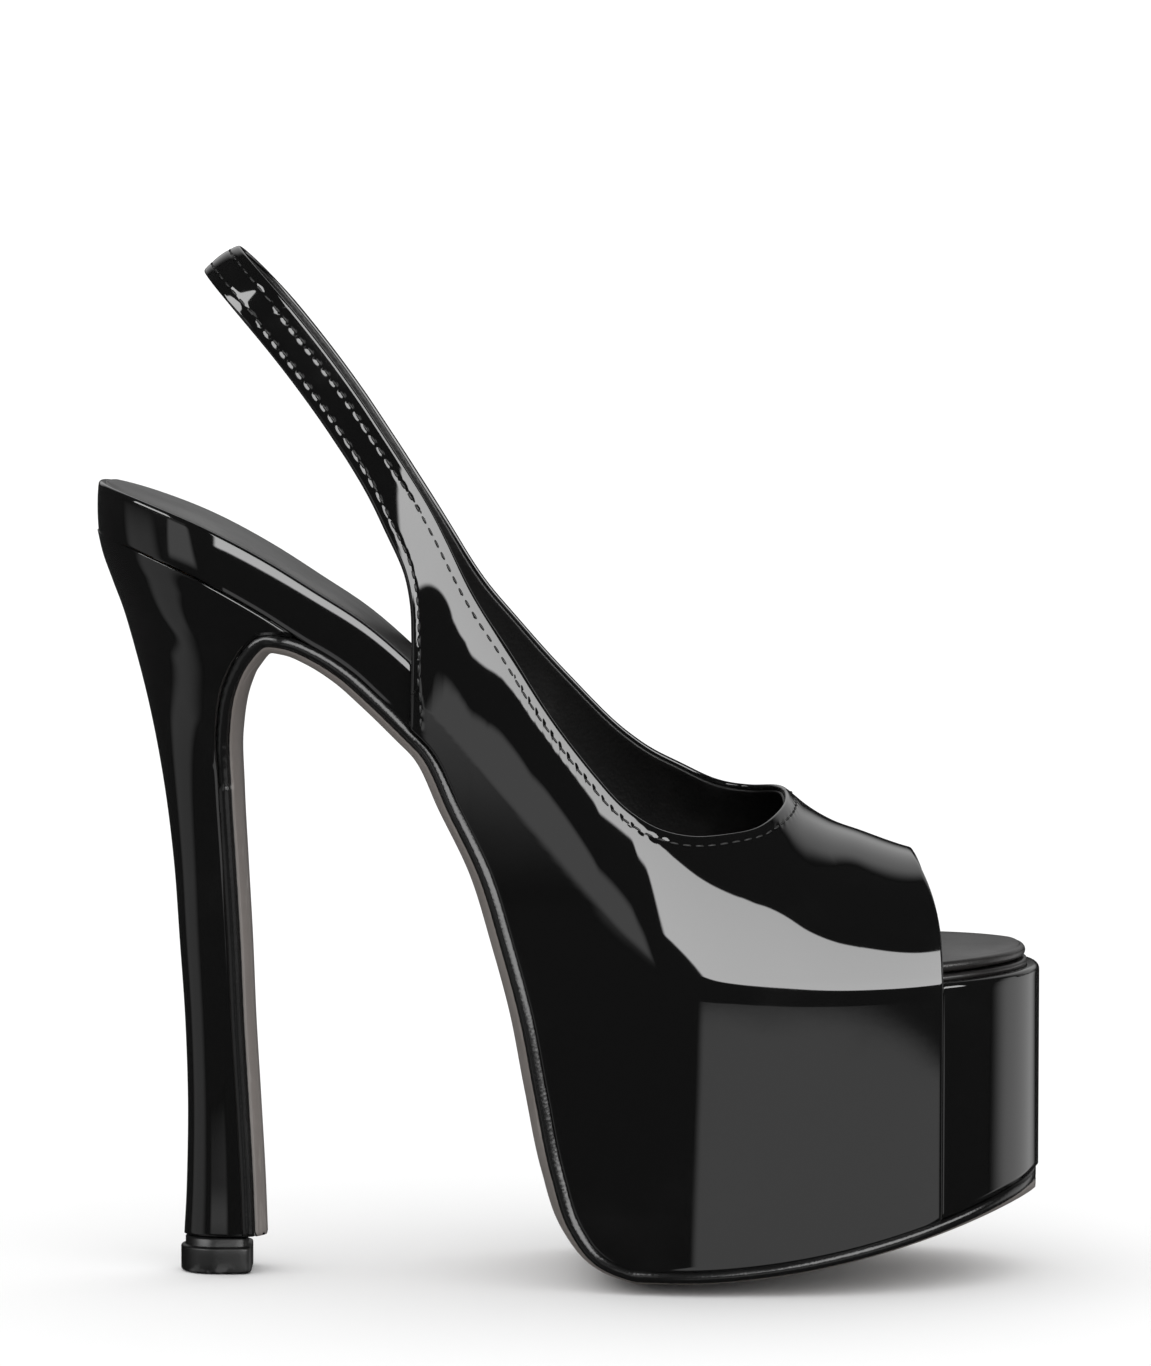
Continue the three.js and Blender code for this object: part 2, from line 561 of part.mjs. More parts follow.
// ---- Seat rim: patent band round the edge of the seat, open where the quarters start ----
const BAND_TOP = 0.3;             // the band starts this far below the top of the sock
function bandGeometry() {
  const turn = 20;
  const reach = SEAT_CENTRE + HEEL_OVERHANG;
  const edge = (inset) => {
    const side = (sign) => {
      const straight = range(6).map((t) => {
        const x = lerp(QUARTER_X - GAP, SEAT_CENTRE, t);
        return [x, outline(x, sign, inset + SEAT_SET_IN)];
      });
      const round = range(turn / 2).slice(1).map((t) => {
        const angle = t * Math.PI / 2;
        const [c, s] = [Math.cos(angle), Math.sin(angle)];
        const size = (c ** SEAT_ROUND + s ** SEAT_ROUND) ** (-1 / SEAT_ROUND);
        const half = SEAT_HALF_WIDTH - SEAT_SET_IN - inset;
        return [SEAT_CENTRE - (reach - inset) * s * size, sign * half * c * size];
      });
      return [...straight, ...round];
    };
    return [...side(-1), ...side(1).reverse().slice(1)];
  };
  const depths = range(3).map((t) => lerp(BAND_TOP, BAND_FOOT, t));
  const rows = (inset) => edge(inset).map(([x, y]) => depths.map((depth) => point(x, y, layer(x, depth))));
  return shell(rows(0), rows(BAND));
}

// ---- Upper: section of the shoe at x ----
// Level -1 is the wall's foot, 0 the feather edge, 1 the ridge, 2 and 3 the same on the inner side.
const ARCH = 2.2;
const WALL_LEAN = 0.025;
const featherCrease = (x) => 7 * smooth(x, along(0.58), along(0.68));
function sectionPoint(x, level) {
  const side = level <= 1 ? -1 : 1;
  const height = side < 0 ? level : 2 - level;
  const edge = feather(x);
  if (height <= 0) {
    const z = lerp(edge, aboveSole(x), -height);
    return point(x, outline(x, side) - side * WALL_LEAN * (edge - z), z);
  }
  const angle = height * Math.PI / 2;
  const [c, s] = [Math.abs(Math.cos(angle)), Math.abs(Math.sin(angle))];
  const size = (c ** ARCH + s ** ARCH) ** (-1 / ARCH);
  const shift = ridgeShift(x);
  const lift = s * size;
  const y = shift + (outline(x, side) - shift) * c * size - side * featherCrease(x) * lift * (1 - lift);
  return point(x, y, lerp(edge, ridgeLine(x), lift));
}
// Level of the section at x whose height is z.
function levelAt(x, z) {
  const lift = clamp((z - feather(x)) / (ridgeLine(x) - feather(x)), 0, 0.999);
  return Math.atan2(lift, (1 - lift ** ARCH) ** (1 / ARCH)) / (Math.PI / 2);
}
function sectionInside(x, level, inset) {
  const step = 0.02;
  const back = sectionPoint(x - 0.4, level);
  const front = sectionPoint(x + 0.4, level);
  const low = sectionPoint(x, Math.max(-1, level - step));
  const high = sectionPoint(x, Math.min(3, level + step));
  const normal = front.sub(back).cross(high.sub(low)).normalize();
  return sectionPoint(x, level).addScaledVector(normal, -inset);
}

// ---- Strap root and loop, in the side view ----
const root = new THREE.Vector2(along(0.352), rise(0.852));
const loopBack = new THREE.Vector2(along(0.133), SEAT_HEIGHT + LOOP_RISE);
const strapLine = new THREE.Vector2().subVectors(loopBack, root);
const STRAP_LENGTH = strapLine.length();
strapLine.normalize();
const strapSquare = new THREE.Vector2(strapLine.y, -strapLine.x);
const rootAngle = Math.atan2(strapLine.y, strapLine.x) - 4 * STRAP_BOW / STRAP_LENGTH;
const backLip = rootAngle + Math.PI / 2 + radians(SWING_BACK + 4);
const frontLip = rootAngle - Math.PI / 2 - radians(SWING_FORWARD + 4) + 2 * Math.PI;

// Cut edge that the foot enters by: notch for the strap's root, side, throat and the other side.
const outerTopline = [
  [0.3965, 0.772], [0.428, 0.681], [0.469, 0.543], [0.5216, 0.405], [0.5526, 0.331], [0.5838, 0.29],
  [0.6245, 0.2635],
];
const innerTopline = [
  [0.392, 0.822], [0.436, 0.709], [0.479, 0.604], [0.501, 0.56], [0.543, 0.467], [0.587, 0.398],
  [0.63, 0.357],
];
const THROAT_X = along(0.732);
const throatPoints = [[0.66, 0.46], [0.697, 0.54], [0.722, 0.68]];
// The notch in which the strap's round root turns.
const notchPoints = range(5).map((t) => {
  const angle = lerp(backLip, frontLip, t);
  const radius = ROOT_RADIUS + GAP;
  return [root.x + radius * Math.cos(angle), root.y + radius * Math.sin(angle)];
});
const INNER_RISE = 0.13;          // the topline stands this many levels higher on the inner side
const HIGHEST_SIDE = 0.93;
function toplineLevels(edge, side) {
  const low = [...notchPoints, ...edge.map(([share, level]) => [along(share), rise(level)])];
  const sides = low.map(([x, z]) => [x, levelAt(x, z)]);
  const higher = side < 0 ? 0 : INNER_RISE;
  const over = throatPoints.map(([share, level]) => [along(share), Math.min(level + higher, HIGHEST_SIDE)]);
  return [...sides, ...over];
}
function openEdge() {
  const outer = toplineLevels(outerTopline, -1);
  const inner = toplineLevels(innerTopline, 1).map(([x, level]) => [x, 2 - level]);
  return [...outer, [THROAT_X, 1], ...inner.reverse()];
}
// The far edge of the upper: along the sole, up the peep toe's cut and back along the sole.
function farEdge() {
  const peep = (level) => {
    const height = clamp(level <= 1 ? level : 2 - level, 0, 1);
    return PEEP_X - PEEP_LEAN * Math.sin(height * Math.PI / 2) ** 3;
  };
  const soleStretch = platformStations.filter(([x]) => x < PEEP_X).map(([x]) => x);
  const first = [QUARTER_X, ...soleStretch.filter((x) => x > QUARTER_X + 1), PEEP_X].map((x) => [x, -1]);
  const bridge = range(26).slice(1, -1).map((t) => lerp(-1, 3, t)).map((level) => [peep(level), level]);
  const second = first.slice().reverse().map(([x]) => [x, 3]);
  const path = [...first, ...bridge, ...second];
  const place = path.map(([x, level]) => sectionPoint(x, level));
  return { path, place };
}
// Pick evenly spaced points of a path, measured along its places in space.
function spread(path, place, count) {
  const run = [0];
  for (let i = 1; i < path.length; i += 1) run.push(run[i - 1] + place[i].distanceTo(place[i - 1]));
  return range(count).map((share) => {
    const goal = share * run[run.length - 1];
    let i = 0;
    while (i < path.length - 2 && goal > run[i + 1]) i += 1;
    const t = clamp(inverseLerp(run[i], run[i + 1], goal), 0, 1);
    return [lerp(path[i][0], path[i + 1][0], t), lerp(path[i][1], path[i + 1][1], t)];
  });
}

// Sheet of the upper, from an outer to an inner inset. Its rows run from the open edge to the feather
// edge and, on the outside leather, on down the wall to the sole.
const UPPER_STEPS = 64;
const VAMP_ROWS = 8;
const WALL_ROWS = 5;
function upperSheet(fromInset, toInset, withWall) {
  const openPath = openEdge();
  const notch = notchPoints.length;
  const far = farEdge();
  const bodyPath = openPath.slice(notch - 1, openPath.length - notch + 1);
  const bodyPlace = bodyPath.map(([x, level]) => sectionPoint(x, level));
  const inner = spread(bodyPath, bodyPlace, UPPER_STEPS - 2 * (notch - 1));
  const near = [...openPath.slice(0, notch - 1), ...inner, ...openPath.slice(openPath.length - notch + 1)];
  const outer = spread(far.path, far.place, UPPER_STEPS);
  const grid = (inset) => near.map(([x0, level0], i) => {
    const [x1, level1] = outer[i];
    const edgeLevel = level1 < 1 ? 0 : 2;
    const feathered = (level1 < 0 || level1 > 2) ? inverseLerp(level0, level1, edgeLevel) : 1;
    const down = range(VAMP_ROWS).map((t) => t * feathered);
    const wall = withWall ? range(WALL_ROWS).slice(1).map((t) => lerp(feathered, 1, t)) : [];
    return [...down, ...wall].map((t) => sectionInside(lerp(x0, x1, t), lerp(level0, level1, t), inset));
  });
  return shell(grid(fromInset), grid(toInset));
}
const upperGeometry = () => upperSheet(0, UPPER, true);
const liningGeometry = () => upperSheet(UPPER + GAP, UPPER + GAP + LINING, false);

// ---- Platform: light core, covered at the toe by its own piece of patent ----
const CORE_ROOM = 0.3;            // the core stands off the upper's inside by this and a gap
const WALL_INSET = UPPER + GAP + CORE_ROOM;
const EASED = 0.8;               // the core's top edge is eased off by this
function wallY(x, z, side, inset) {
  return outline(x, side, inset) - side * WALL_LEAN * Math.max(0, feather(x) - z);
}
function coreGeometry() {
  const end = TOE_X - WALL_INSET;
  const middle = platformStations.map(([x]) => x).filter((x) => x > PLATFORM_START + 0.5 && x < end - 4);
  const stations = [PLATFORM_START, ...middle];
  const last = stations[stations.length - 1];
  const tail = range(5).map((t) => lerp(last, end, Math.sin(t * Math.PI / 2))).slice(1);
  const rings = [...stations, ...tail].map((x) => {
    const top = layer(x, CORE_TOP);
    const foot = aboveSole(x);
    const sides = (z) => [-1, 1].map((side) => wallY(Math.min(x, end), z, side, WALL_INSET));
    const rows = range(2).map((t) => lerp(foot, top - EASED, t));
    const outerRow = rows.map((z) => point(x, sides(z)[0], z));
    const innerRow = rows.slice().reverse().map((z) => point(x, sides(z)[1], z));
    const topRow = sides(top).map((y) => point(x, y * (1 - EASED / BALL_HALF_WIDTH), top));
    return [...outerRow, ...topRow, ...innerRow];
  });
  return bodyFromRings(rings);
}
function toeCoverGeometry() {
  const start = PEEP_X + GAP;
  const rows = (inset) => {
    const reach = TOE_X - TOE_CENTRE - inset;
    const half = BALL_HALF_WIDTH - inset;
    const widest = Math.acos(Math.min(1, (start - TOE_CENTRE) / reach));
    const row = range(26).map((t) => lerp(-1, 1, t)).map((turn) => {
      const angle = Math.abs(turn) * widest * 1.12;
      const [c, s] = [Math.cos(angle), Math.sin(angle)];
      const size = (c ** TOE_ROUND + s ** TOE_ROUND) ** (-1 / TOE_ROUND);
      const side = Math.sign(turn);
      const x = Math.max(start, TOE_CENTRE + reach * c * size);
      const y = x > start ? toeLean(x) + side * half * s * size : outline(start, side, inset);
      return [x, y];
    });
    const unique = row.filter(([x], i) => x > start || row[i + 1]?.[0] > start || row[i - 1]?.[0] > start);
    return unique.map(([x, y]) => range(5).map((t) => {
      const foot = aboveSole(x);
      const z = lerp(foot, layer(x, LINING_EDGE), t);
      return point(x, y - Math.sign(y - toeLean(x)) * WALL_LEAN * (feather(x) - z), z);
    }));
  };
  return shell(rows(0), rows(UPPER));
}

// ---- Outsole: one strip from the heel tip down the breast, waist and platform to the toe ----
function outsoleGeometry() {
  const stations = soleStations;
  const rings = stations.map(([x, z], i) => {
    const before = stations[Math.max(0, i - 1)];
    const after = stations[Math.min(stations.length - 1, i + 1)];
    const run = Math.hypot(after[0] - before[0], after[1] - before[1]);
    const square = [(after[1] - before[1]) / run, (before[0] - after[0]) / run];
    const normal = x >= BALL_FLAT_START - 2 ? [0, -1] : square;
    const half = soleHalf(i, x, z);
    const camber = soleCamber(x);
    const shares = [-1, -0.68, -0.35, 0.35, 0.68, 1];
    const inner = shares.map((t) => point(x, lerp(half[0], half[1], (t + 1) / 2), z));
    const outer = shares.slice().reverse().map((t) => {
      const bow = 1 - (Math.max(0, Math.abs(t) - 0.35) / 0.65) ** 2;
      const depth = SOLE_EDGE + camber * bow;
      return point(x + normal[0] * depth, lerp(half[0], half[1], (t + 1) / 2), z + normal[1] * depth);
    });
    return [...inner, ...outer];
  });
  return bodyFromRings(rings);
}
function soleCamber(x) {
  const ball = smooth(x, along(0.53), BALL_FLAT_START - 2) * (1 - 0.7 * smooth(x, BALL_FLAT_END, TOE_X));
  return lerp(WAIST_CAMBER, BALL_CAMBER, ball);
}
function soleHalf(index, x, z) {
  const inset = SOLE_INSET + SEAT_SET_IN * (1 - smooth(x, QUARTER_X, PLATFORM_START + 8));
  const lean = WALL_LEAN * Math.max(0, feather(x) - z) * smooth(x, QUARTER_X, BALL_FLAT_START);
  const inside = Math.min(x, TOE_X - SOLE_INSET - 0.1);
  const waist = [-1, 1].map((side) => outline(inside, side, inset) - side * lean);
  if (index > SOLE_STEPS / 2 || x > WAIST_START) return waist;
  const station = clamp(heelStationOf(x, z), 0, 1);
  const half = heelHalfWidth(station) * heelShape(1, station);
  const blend = smooth(station, 0.9, 1);
  return [lerp(-half, waist[0], blend), lerp(half, waist[1], blend)];
}
// Station of the heel whose breast point lies nearest.
function heelStationOf(x, z) {
  let best = 0;
  let nearest = Infinity;
  for (const station of range(200)) {
    const distance = Math.hypot(breastX(station) - x, breastZ(station) - z);
    if (distance < nearest) [best, nearest] = [station, distance];
  }
  return best;
}

// ---- Slingback strap ----
const strapRootY = { outer: sectionPoint(root.x, levelAt(root.x, root.y)).y };
strapRootY.inner = sectionPoint(root.x, 2 - levelAt(root.x, root.y)).y;
const LOOP_START = STRAP_LENGTH - LOOP_HALF_WIDTH;
function strapCentre(distance) {
  const share = distance / STRAP_LENGTH;
  const bow = 4 * STRAP_BOW * share * (1 - share);
  return new THREE.Vector2(
    root.x + strapLine.x * distance + strapSquare.x * bow,
    root.y + strapLine.y * distance + strapSquare.y * bow,
  );
}
// Path of the strap: up the outer side, round the heel and down the inner side.
function strapPath(fromDistance, depth) {
  const rootTurn = [0.8, 0.55, 0.25].map((t) => -t * ROOT_RADIUS).filter((at) => at > fromDistance);
  const upwards = range(8).map((t) => lerp(Math.max(fromDistance, 0), LOOP_START, t));
  const straight = [fromDistance, ...rootTurn, ...upwards]
    .filter((distance, i, all) => i === 0 || distance > all[i - 1]);
  const side = (sign, rootY) => straight.map((distance) => {
    const t = clamp(distance / LOOP_START, 0, 1);
    return { distance, y: lerp(rootY, sign * LOOP_HALF_WIDTH, 1 - (1 - t) ** 1.6) - sign * depth };
  });
  const turn = range(16).slice(1, -1).map((t) => {
    const angle = lerp(-Math.PI / 2, Math.PI / 2, t);
    const radius = LOOP_HALF_WIDTH - depth;
    return { distance: LOOP_START + radius * Math.cos(angle), y: radius * Math.sin(angle) };
  });
  return [...side(-1, strapRootY.outer), ...turn, ...side(1, strapRootY.inner).reverse()];
}
function strapLayer(fromDepth, toDepth, width, fromDistance = -0.97 * ROOT_RADIUS) {
  const strips = [fromDepth, toDepth].map((depth) => strapPath(fromDistance, depth));
  const rings = strips[0].map((_, i) => {
    const [near, far] = strips.map((strip) => {
      const { distance, y } = strip[i];
      const half = strapHalf(strips[0][i].distance, width);
      const middle = strapCentre(Math.max(distance, -ROOT_RADIUS));
      const edge = (sign) => point(
        middle.x + sign * half * strapSquare.x, y, middle.y + sign * half * strapSquare.y,
      );
      return [edge(-1), edge(1)];
    });
    return [near[0], near[1], far[1], far[0]];
  });
  return bodyFromRings(rings);
}
function strapHalf(distance, width) {
  const trim = (STRAP_WIDTH - width) / 2;
  if (distance < 0) return Math.sqrt(Math.max(0.2, ROOT_RADIUS ** 2 - distance ** 2)) - trim;
  return lerp(ROOT_RADIUS, STRAP_WIDTH / 2, smooth(distance, 0, 16)) - trim;
}
const strapOuterGeometry = () => strapLayer(0, STRAP_SKIN, STRAP_WIDTH);
const elasticDepth = STRAP_SKIN + GAP;
const elasticInside = elasticDepth + STRAP_ELASTIC;
const strapElasticGeometry = () => strapLayer(elasticDepth, elasticInside, STRAP_WIDTH - 3, 14);
const liningDepth = elasticInside + GAP;
const strapLiningGeometry = () => strapLayer(liningDepth, liningDepth + STRAP_SKIN, STRAP_WIDTH - 0.6, 2);

// ---- Materials ----
function finish(color, roughness, metalness = 0) {
  return () => new THREE.MeshStandardMaterial({ color, roughness, metalness });
}
const patent = finish(0x070708, 0.08);
const liningLeather = finish(0x17130f, 0.45);
const sockLeather = finish(0x1b1613, 0.35);
const foamRubber = finish(0x8a8478, 0.9);
const fibreboard = finish(0x8c6f4e, 0.85);
const cork = finish(0xb08a5c, 0.9);
const soleLeather = finish(0x8c8884, 0.6);
const plastic = finish(0x2a2a2c, 0.5);
const rubber = finish(0x101010, 0.75);
const steel = finish(0xb5b7ba, 0.3, 1);
const elastic = finish(0x141414, 0.8);

// ---- The shoe ----
const shoe = new THREE.Group();
function add(name, geometry, material) {
  const mesh = new THREE.Mesh(geometry, material());
  mesh.name = name;
  shoe.add(mesh);
}
add('upper_outer', upperGeometry(), patent);
add('upper_lining', liningGeometry(), liningLeather);
add('strap_outer', strapOuterGeometry(), patent);
add('strap_elastic', strapElasticGeometry(), elastic);
add('strap_lining', strapLiningGeometry(), liningLeather);
add('insole_sock', sockGeometry(), sockLeather);
add('sock_foam_pad', foamGeometry(), foamRubber);
add('insole_board', cut(boardBody(), [...seatHoles(), ...rivetHoles()]), fibreboard);
add('seat_filler', cut(seatFillerBody(), [shankBody(GAP), ...seatHoles(), ...rivetHoles()]), cork);
add('steel_shank', cut(shankBody(), rivetHoles()), steel);
for (const [end, x] of Object.entries(RIVET_X)) add(`shank_rivet_${end}`, rivetGeometry(x), steel);
add('seat_band', bandGeometry(), patent);
add('platform_core', coreGeometry(), cork);
add('toe_platform_cover', toeCoverGeometry(), patent);
add('outsole', outsoleGeometry(), soleLeather);
add('heel_core', cut(heelCoreBody(), [tubeHole(), ...seatHoles()]), plastic);
add('heel_cover', heelCoverGeometry(), patent);
add('heel_tube', tubeGeometry(), steel);
add('heel_screw', screwGeometry(), steel);
nailSpots.forEach((spot, i) => add(`heel_nail_${i + 1}`, nailGeometry(spot), steel));
add('top_piece', topPieceGeometry(), rubber);
add('top_piece_pin', pinGeometry(), steel);

export default shoe;
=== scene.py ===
import math

import bmesh
import bpy
import numpy as np
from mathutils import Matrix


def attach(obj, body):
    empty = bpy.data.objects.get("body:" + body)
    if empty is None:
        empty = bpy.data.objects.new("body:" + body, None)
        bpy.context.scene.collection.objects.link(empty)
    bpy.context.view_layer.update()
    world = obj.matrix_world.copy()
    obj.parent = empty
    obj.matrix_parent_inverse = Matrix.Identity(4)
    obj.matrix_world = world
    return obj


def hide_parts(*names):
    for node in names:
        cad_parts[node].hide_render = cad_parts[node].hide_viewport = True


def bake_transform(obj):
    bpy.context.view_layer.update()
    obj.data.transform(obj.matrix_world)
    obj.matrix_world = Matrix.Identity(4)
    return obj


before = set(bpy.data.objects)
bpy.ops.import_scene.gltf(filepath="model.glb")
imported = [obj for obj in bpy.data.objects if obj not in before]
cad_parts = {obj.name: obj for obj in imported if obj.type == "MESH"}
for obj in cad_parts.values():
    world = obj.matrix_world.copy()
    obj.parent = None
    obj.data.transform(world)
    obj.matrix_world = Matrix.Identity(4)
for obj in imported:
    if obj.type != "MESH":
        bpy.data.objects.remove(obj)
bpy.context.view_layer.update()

# ---- The last ----
# A shoe is made round a last, a foot-shaped form. Its lines are given here in millimetres, x from heel to
# toe, y towards the inner side of the foot and z up, from the middle of the heel tip's face on the floor.
LENGTH, OVERHANG = 205.2, 26.5
SEAT_HEIGHT, FOREFOOT_HEIGHT, TOE_SPRING = 172.5, 71.3, 17.7
BALL, SEAT, WAIST = 39.5, 27.4, 23.4           # half widths of the foot
UPPER, LINING, SOCK, FOAM, BOARD = 1.2, 0.8, 1.0, 1.1, 1.6
GAP, SOLE_SEAM, SEAT_STACK = 0.35, 0.45, 10.5
SEAT_SET_IN = 1.1                              # the seat's rim lies this far inside the quarters
WALL_LEAN = 0.025                              # the platform's sides come in by this for each mm down
TOE_TIP_SHIFT = 3.5


def along(share):
    """x of a share of the shoe's length, from the heel's back."""
    return share * LENGTH - OVERHANG


def rise(share):
    """Height of a share of the way from the forefoot to the seat."""
    return FOREFOOT_HEIGHT + share * (SEAT_HEIGHT - FOREFOOT_HEIGHT)


def mix(a, b, t):
    """a plus t times the way from a to b."""
    return a + (b - a) * t


def ease(value, low, high):
    """0 below low, 1 above high, and 3t^2 - 2t^3 between them."""
    t = np.clip((value - low) / (high - low), 0, 1)
    return t * t * (3 - 2 * t)


def line_through(points):
    """Cubic pieces through the points: each slope is the mean of the rates on both sides, each weighed by
    the other side's span. The line goes on straight beyond its ends."""
    x, y = np.array(points, float).T
    span = np.diff(x)
    rate = np.diff(y) / span
    inner = (rate[:-1] * span[1:] + rate[1:] * span[:-1]) / (span[1:] + span[:-1])
    slope = np.concatenate([rate[:1], inner, rate[-1:]])

    def line(at):
        at = np.asarray(at, float)
        i = np.clip(np.searchsorted(x, at) - 1, 0, len(span) - 1)
        t = np.clip((at - x[i]) / span[i], 0, 1)
        rest = (1 - t) ** 2
        cubic = (1 + 2 * t) * rest * y[i] + t * rest * span[i] * slope[i]
        cubic = cubic + t * t * (3 - 2 * t) * y[i + 1] + t * t * (t - 1) * span[i] * slope[i + 1]
        return cubic + slope[0] * np.minimum(at - x[0], 0) + slope[-1] * np.maximum(at - x[-1], 0)

    return line


def curve_through(points, weight=1.0):
    """Smooth plane curve through the points by a share, 0 to 1, of its chord length, in which the second
    coordinate counts weight times. Returns both coordinates."""
    points = np.array(points, float)
    steps = np.hypot(np.diff(points[:, 0]), weight * np.diff(points[:, 1]))
    run = np.concatenate([[0], np.cumsum(steps)]) / steps.sum()
    first, second = (line_through(np.column_stack([run, points[:, i]])) for i in (0, 1))
    return lambda share: (first(share), second(share))


foot_line = line_through([
    (along(-0.02), rise(1.02)), (along(0.061), rise(0.965)), (along(0.115), rise(0.92)),
    (along(0.185), rise(0.845)), (along(0.232), rise(0.785)), (along(0.29), rise(0.707)),
    (along(0.337), rise(0.624)), (along(0.383), rise(0.532)), (along(0.431), rise(0.42)),
    (along(0.48), rise(0.305)), (along(0.529), rise(0.188)), (along(0.568), rise(0.101)),
    (along(0.602), rise(0.04)), (along(0.636), rise(0.008)), (along(0.675), rise(0)),
    (along(1.02), rise(0)),
])
ridge_line = line_through([
    (along(0.33), rise(1.17)), (along(0.373), rise(1.05)), (along(0.42), rise(0.896)),
    (along(0.47), rise(0.768)), (along(0.52), rise(0.65)), (along(0.568), rise(0.555)),
    (along(0.617), rise(0.472)), (along(0.655), rise(0.414)), (along(0.694), rise(0.369)),
    (along(0.731), rise(0.329)), (along(0.753), rise(0.293)), (along(0.777), rise(0.264)),
    (along(0.811), rise(0.239)), (along(0.863), rise(0.204)), (along(0.9), rise(0.19)),
])
ridge_shift = line_through([
    (along(0.33), 0), (along(0.5), 4), (along(0.65), 9), (along(0.73), 8), (along(0.9), 3.5),
])
SEAT_CENTRE, TOE_CENTRE, TOE_X = along(0.139), along(0.704), along(1)
SEAT_ROUND, TOE_ROUND = 2.3, 2.15
side_line = {
    -1: line_through([
        (SEAT_CENTRE, SEAT), (along(0.202), SEAT - 1.1), (along(0.275), WAIST + 1.2),
        (along(0.34), WAIST + 0.8), (along(0.397), mix(WAIST, BALL, 0.2)),
        (along(0.46), mix(WAIST, BALL, 0.44)), (along(0.529), mix(WAIST, BALL, 0.72)),
        (along(0.592), mix(WAIST, BALL, 0.93)), (along(0.655), BALL), (TOE_CENTRE, BALL),
    ]),
    1: line_through([
        (SEAT_CENTRE, SEAT), (along(0.202), SEAT - 1.7), (along(0.275), WAIST - 0.3),
        (along(0.34), WAIST - 1.4), (along(0.397), WAIST + 0.5), (along(0.46), mix(WAIST, BALL, 0.28)),
        (along(0.529), mix(WAIST, BALL, 0.6)), (along(0.592), mix(WAIST, BALL, 0.86)),
        (along(0.655), BALL), (TOE_CENTRE, BALL),
    ]),
}


def slope_of(line, x):
    """Rise of a line over the millimetre round x."""
    return line(x + 0.5) - line(x - 0.5)


def layer(x, depth):
    """Height at x of what lies depth below the top of the sock, square to it."""
    return foot_line(x) - depth * np.sqrt(1 + slope_of(foot_line, x) ** 2)


def toe_lean(x):
    """How far the middle of the toe moves to the inner side: as the square of the way to its tip."""
    return TOE_TIP_SHIFT * np.clip((x - TOE_CENTRE) / (TOE_X - TOE_CENTRE), 0, 1) ** 2


def outline(x, side, inset=0.0):
    """y of the foot's outline on side -1 (outer) or 1 (inner), moved in by the inset: the side line, closed
    at the seat and at the toe by superellipses."""
    plain = side_line[side](np.clip(x, SEAT_CENTRE, TOE_CENTRE)) - inset
    seat = np.clip((SEAT_CENTRE - x) / (SEAT_CENTRE + OVERHANG + SEAT_SET_IN - inset), 0, 1)
    toe = np.clip((x - TOE_CENTRE) / (TOE_X - TOE_CENTRE - inset), 0, 1)
    closed = (1 - seat ** SEAT_ROUND) ** (1 / SEAT_ROUND) * (1 - toe ** TOE_ROUND) ** (1 / TOE_ROUND)
    return toe_lean(x) + side * plain * closed


def feather(x):
    """Height of the feather edge, where the last's side turns under its bottom."""
    return layer(x, SOCK + GAP + FOAM + GAP + BOARD)


# ---- Finishes ----
# Each finish is a node tree on the principled shader. A wire is one output of a node, and sums of wires are
# Math nodes, so that a pattern reads as a formula.
class Wire:
    """An output socket of a shader node, with + - * on wires and numbers."""

    def __init__(self, tree, socket=None):
        self.tree, self.socket = tree, socket

    def node(self, kind, settings=None, inputs=None, output=0):
        """Adds a node of that kind: its settings first, then the values or wires of its sockets."""
        made = self.tree.nodes.new(kind)
        for key, value in (settings or {}).items():
            setattr(made, key, value)
        for key, value in (inputs or {}).items():
            if isinstance(value, Wire):
                self.tree.links.new(value.socket, made.inputs[key])
            else:
                made.inputs[key].default_value = value
        return Wire(self.tree, made.outputs[output])

    def math(self, operation, *terms):
        return self.node("ShaderNodeMath", {"operation": operation}, dict(enumerate(terms)))

    def __add__(self, other):
        return self.math("ADD", self, other)

    def __sub__(self, other):
        return self.math("SUBTRACT", self, other)

    def __rsub__(self, other):
        return self.math("SUBTRACT", other, self)

    def __mul__(self, other):
        return self.math("MULTIPLY", self, other)

    __radd__, __rmul__ = __add__, __mul__

    def noise(self, scale, detail=2.0, rough=0.5, stretch=(1, 1, 1)):
        """Cloudy values round 0.5, with scale patches to the metre."""
        place = self.node("ShaderNodeMapping", {}, {"Vector": self, "Scale": stretch})
        return place.node("ShaderNodeTexNoise", {}, {
            "Vector": place, "Scale": scale, "Detail": detail, "Roughness": rough})

    def cells(self, scale):
        """Distance to the middle of round cells."""
        return self.node("ShaderNodeTexVoronoi", {}, {"Vector": self, "Scale": scale})

    def between(self, low, high, start=0.0, end=1.0):
        """start below low and end above high, smoothly."""
        return self.node("ShaderNodeMapRange", {"interpolation_type": "SMOOTHSTEP"}, {
            "Value": self, "From Min": low, "From Max": high, "To Min": start, "To Max": end})

    def colours(self, low, high):
        """Goes from one colour to the other as the wire goes from 0 to 1."""
        ends = {0: self, 6: colour(low), 7: colour(high)}
        return self.node("ShaderNodeMix", {"data_type": "RGBA"}, ends, 2)


def colour(value):
    """A linear colour of four numbers from a grey or from three numbers. A wire is left as it is."""
    if isinstance(value, Wire):
        return value
    return (*value, 1.0) if isinstance(value, tuple) else (value, value, value, 1.0)


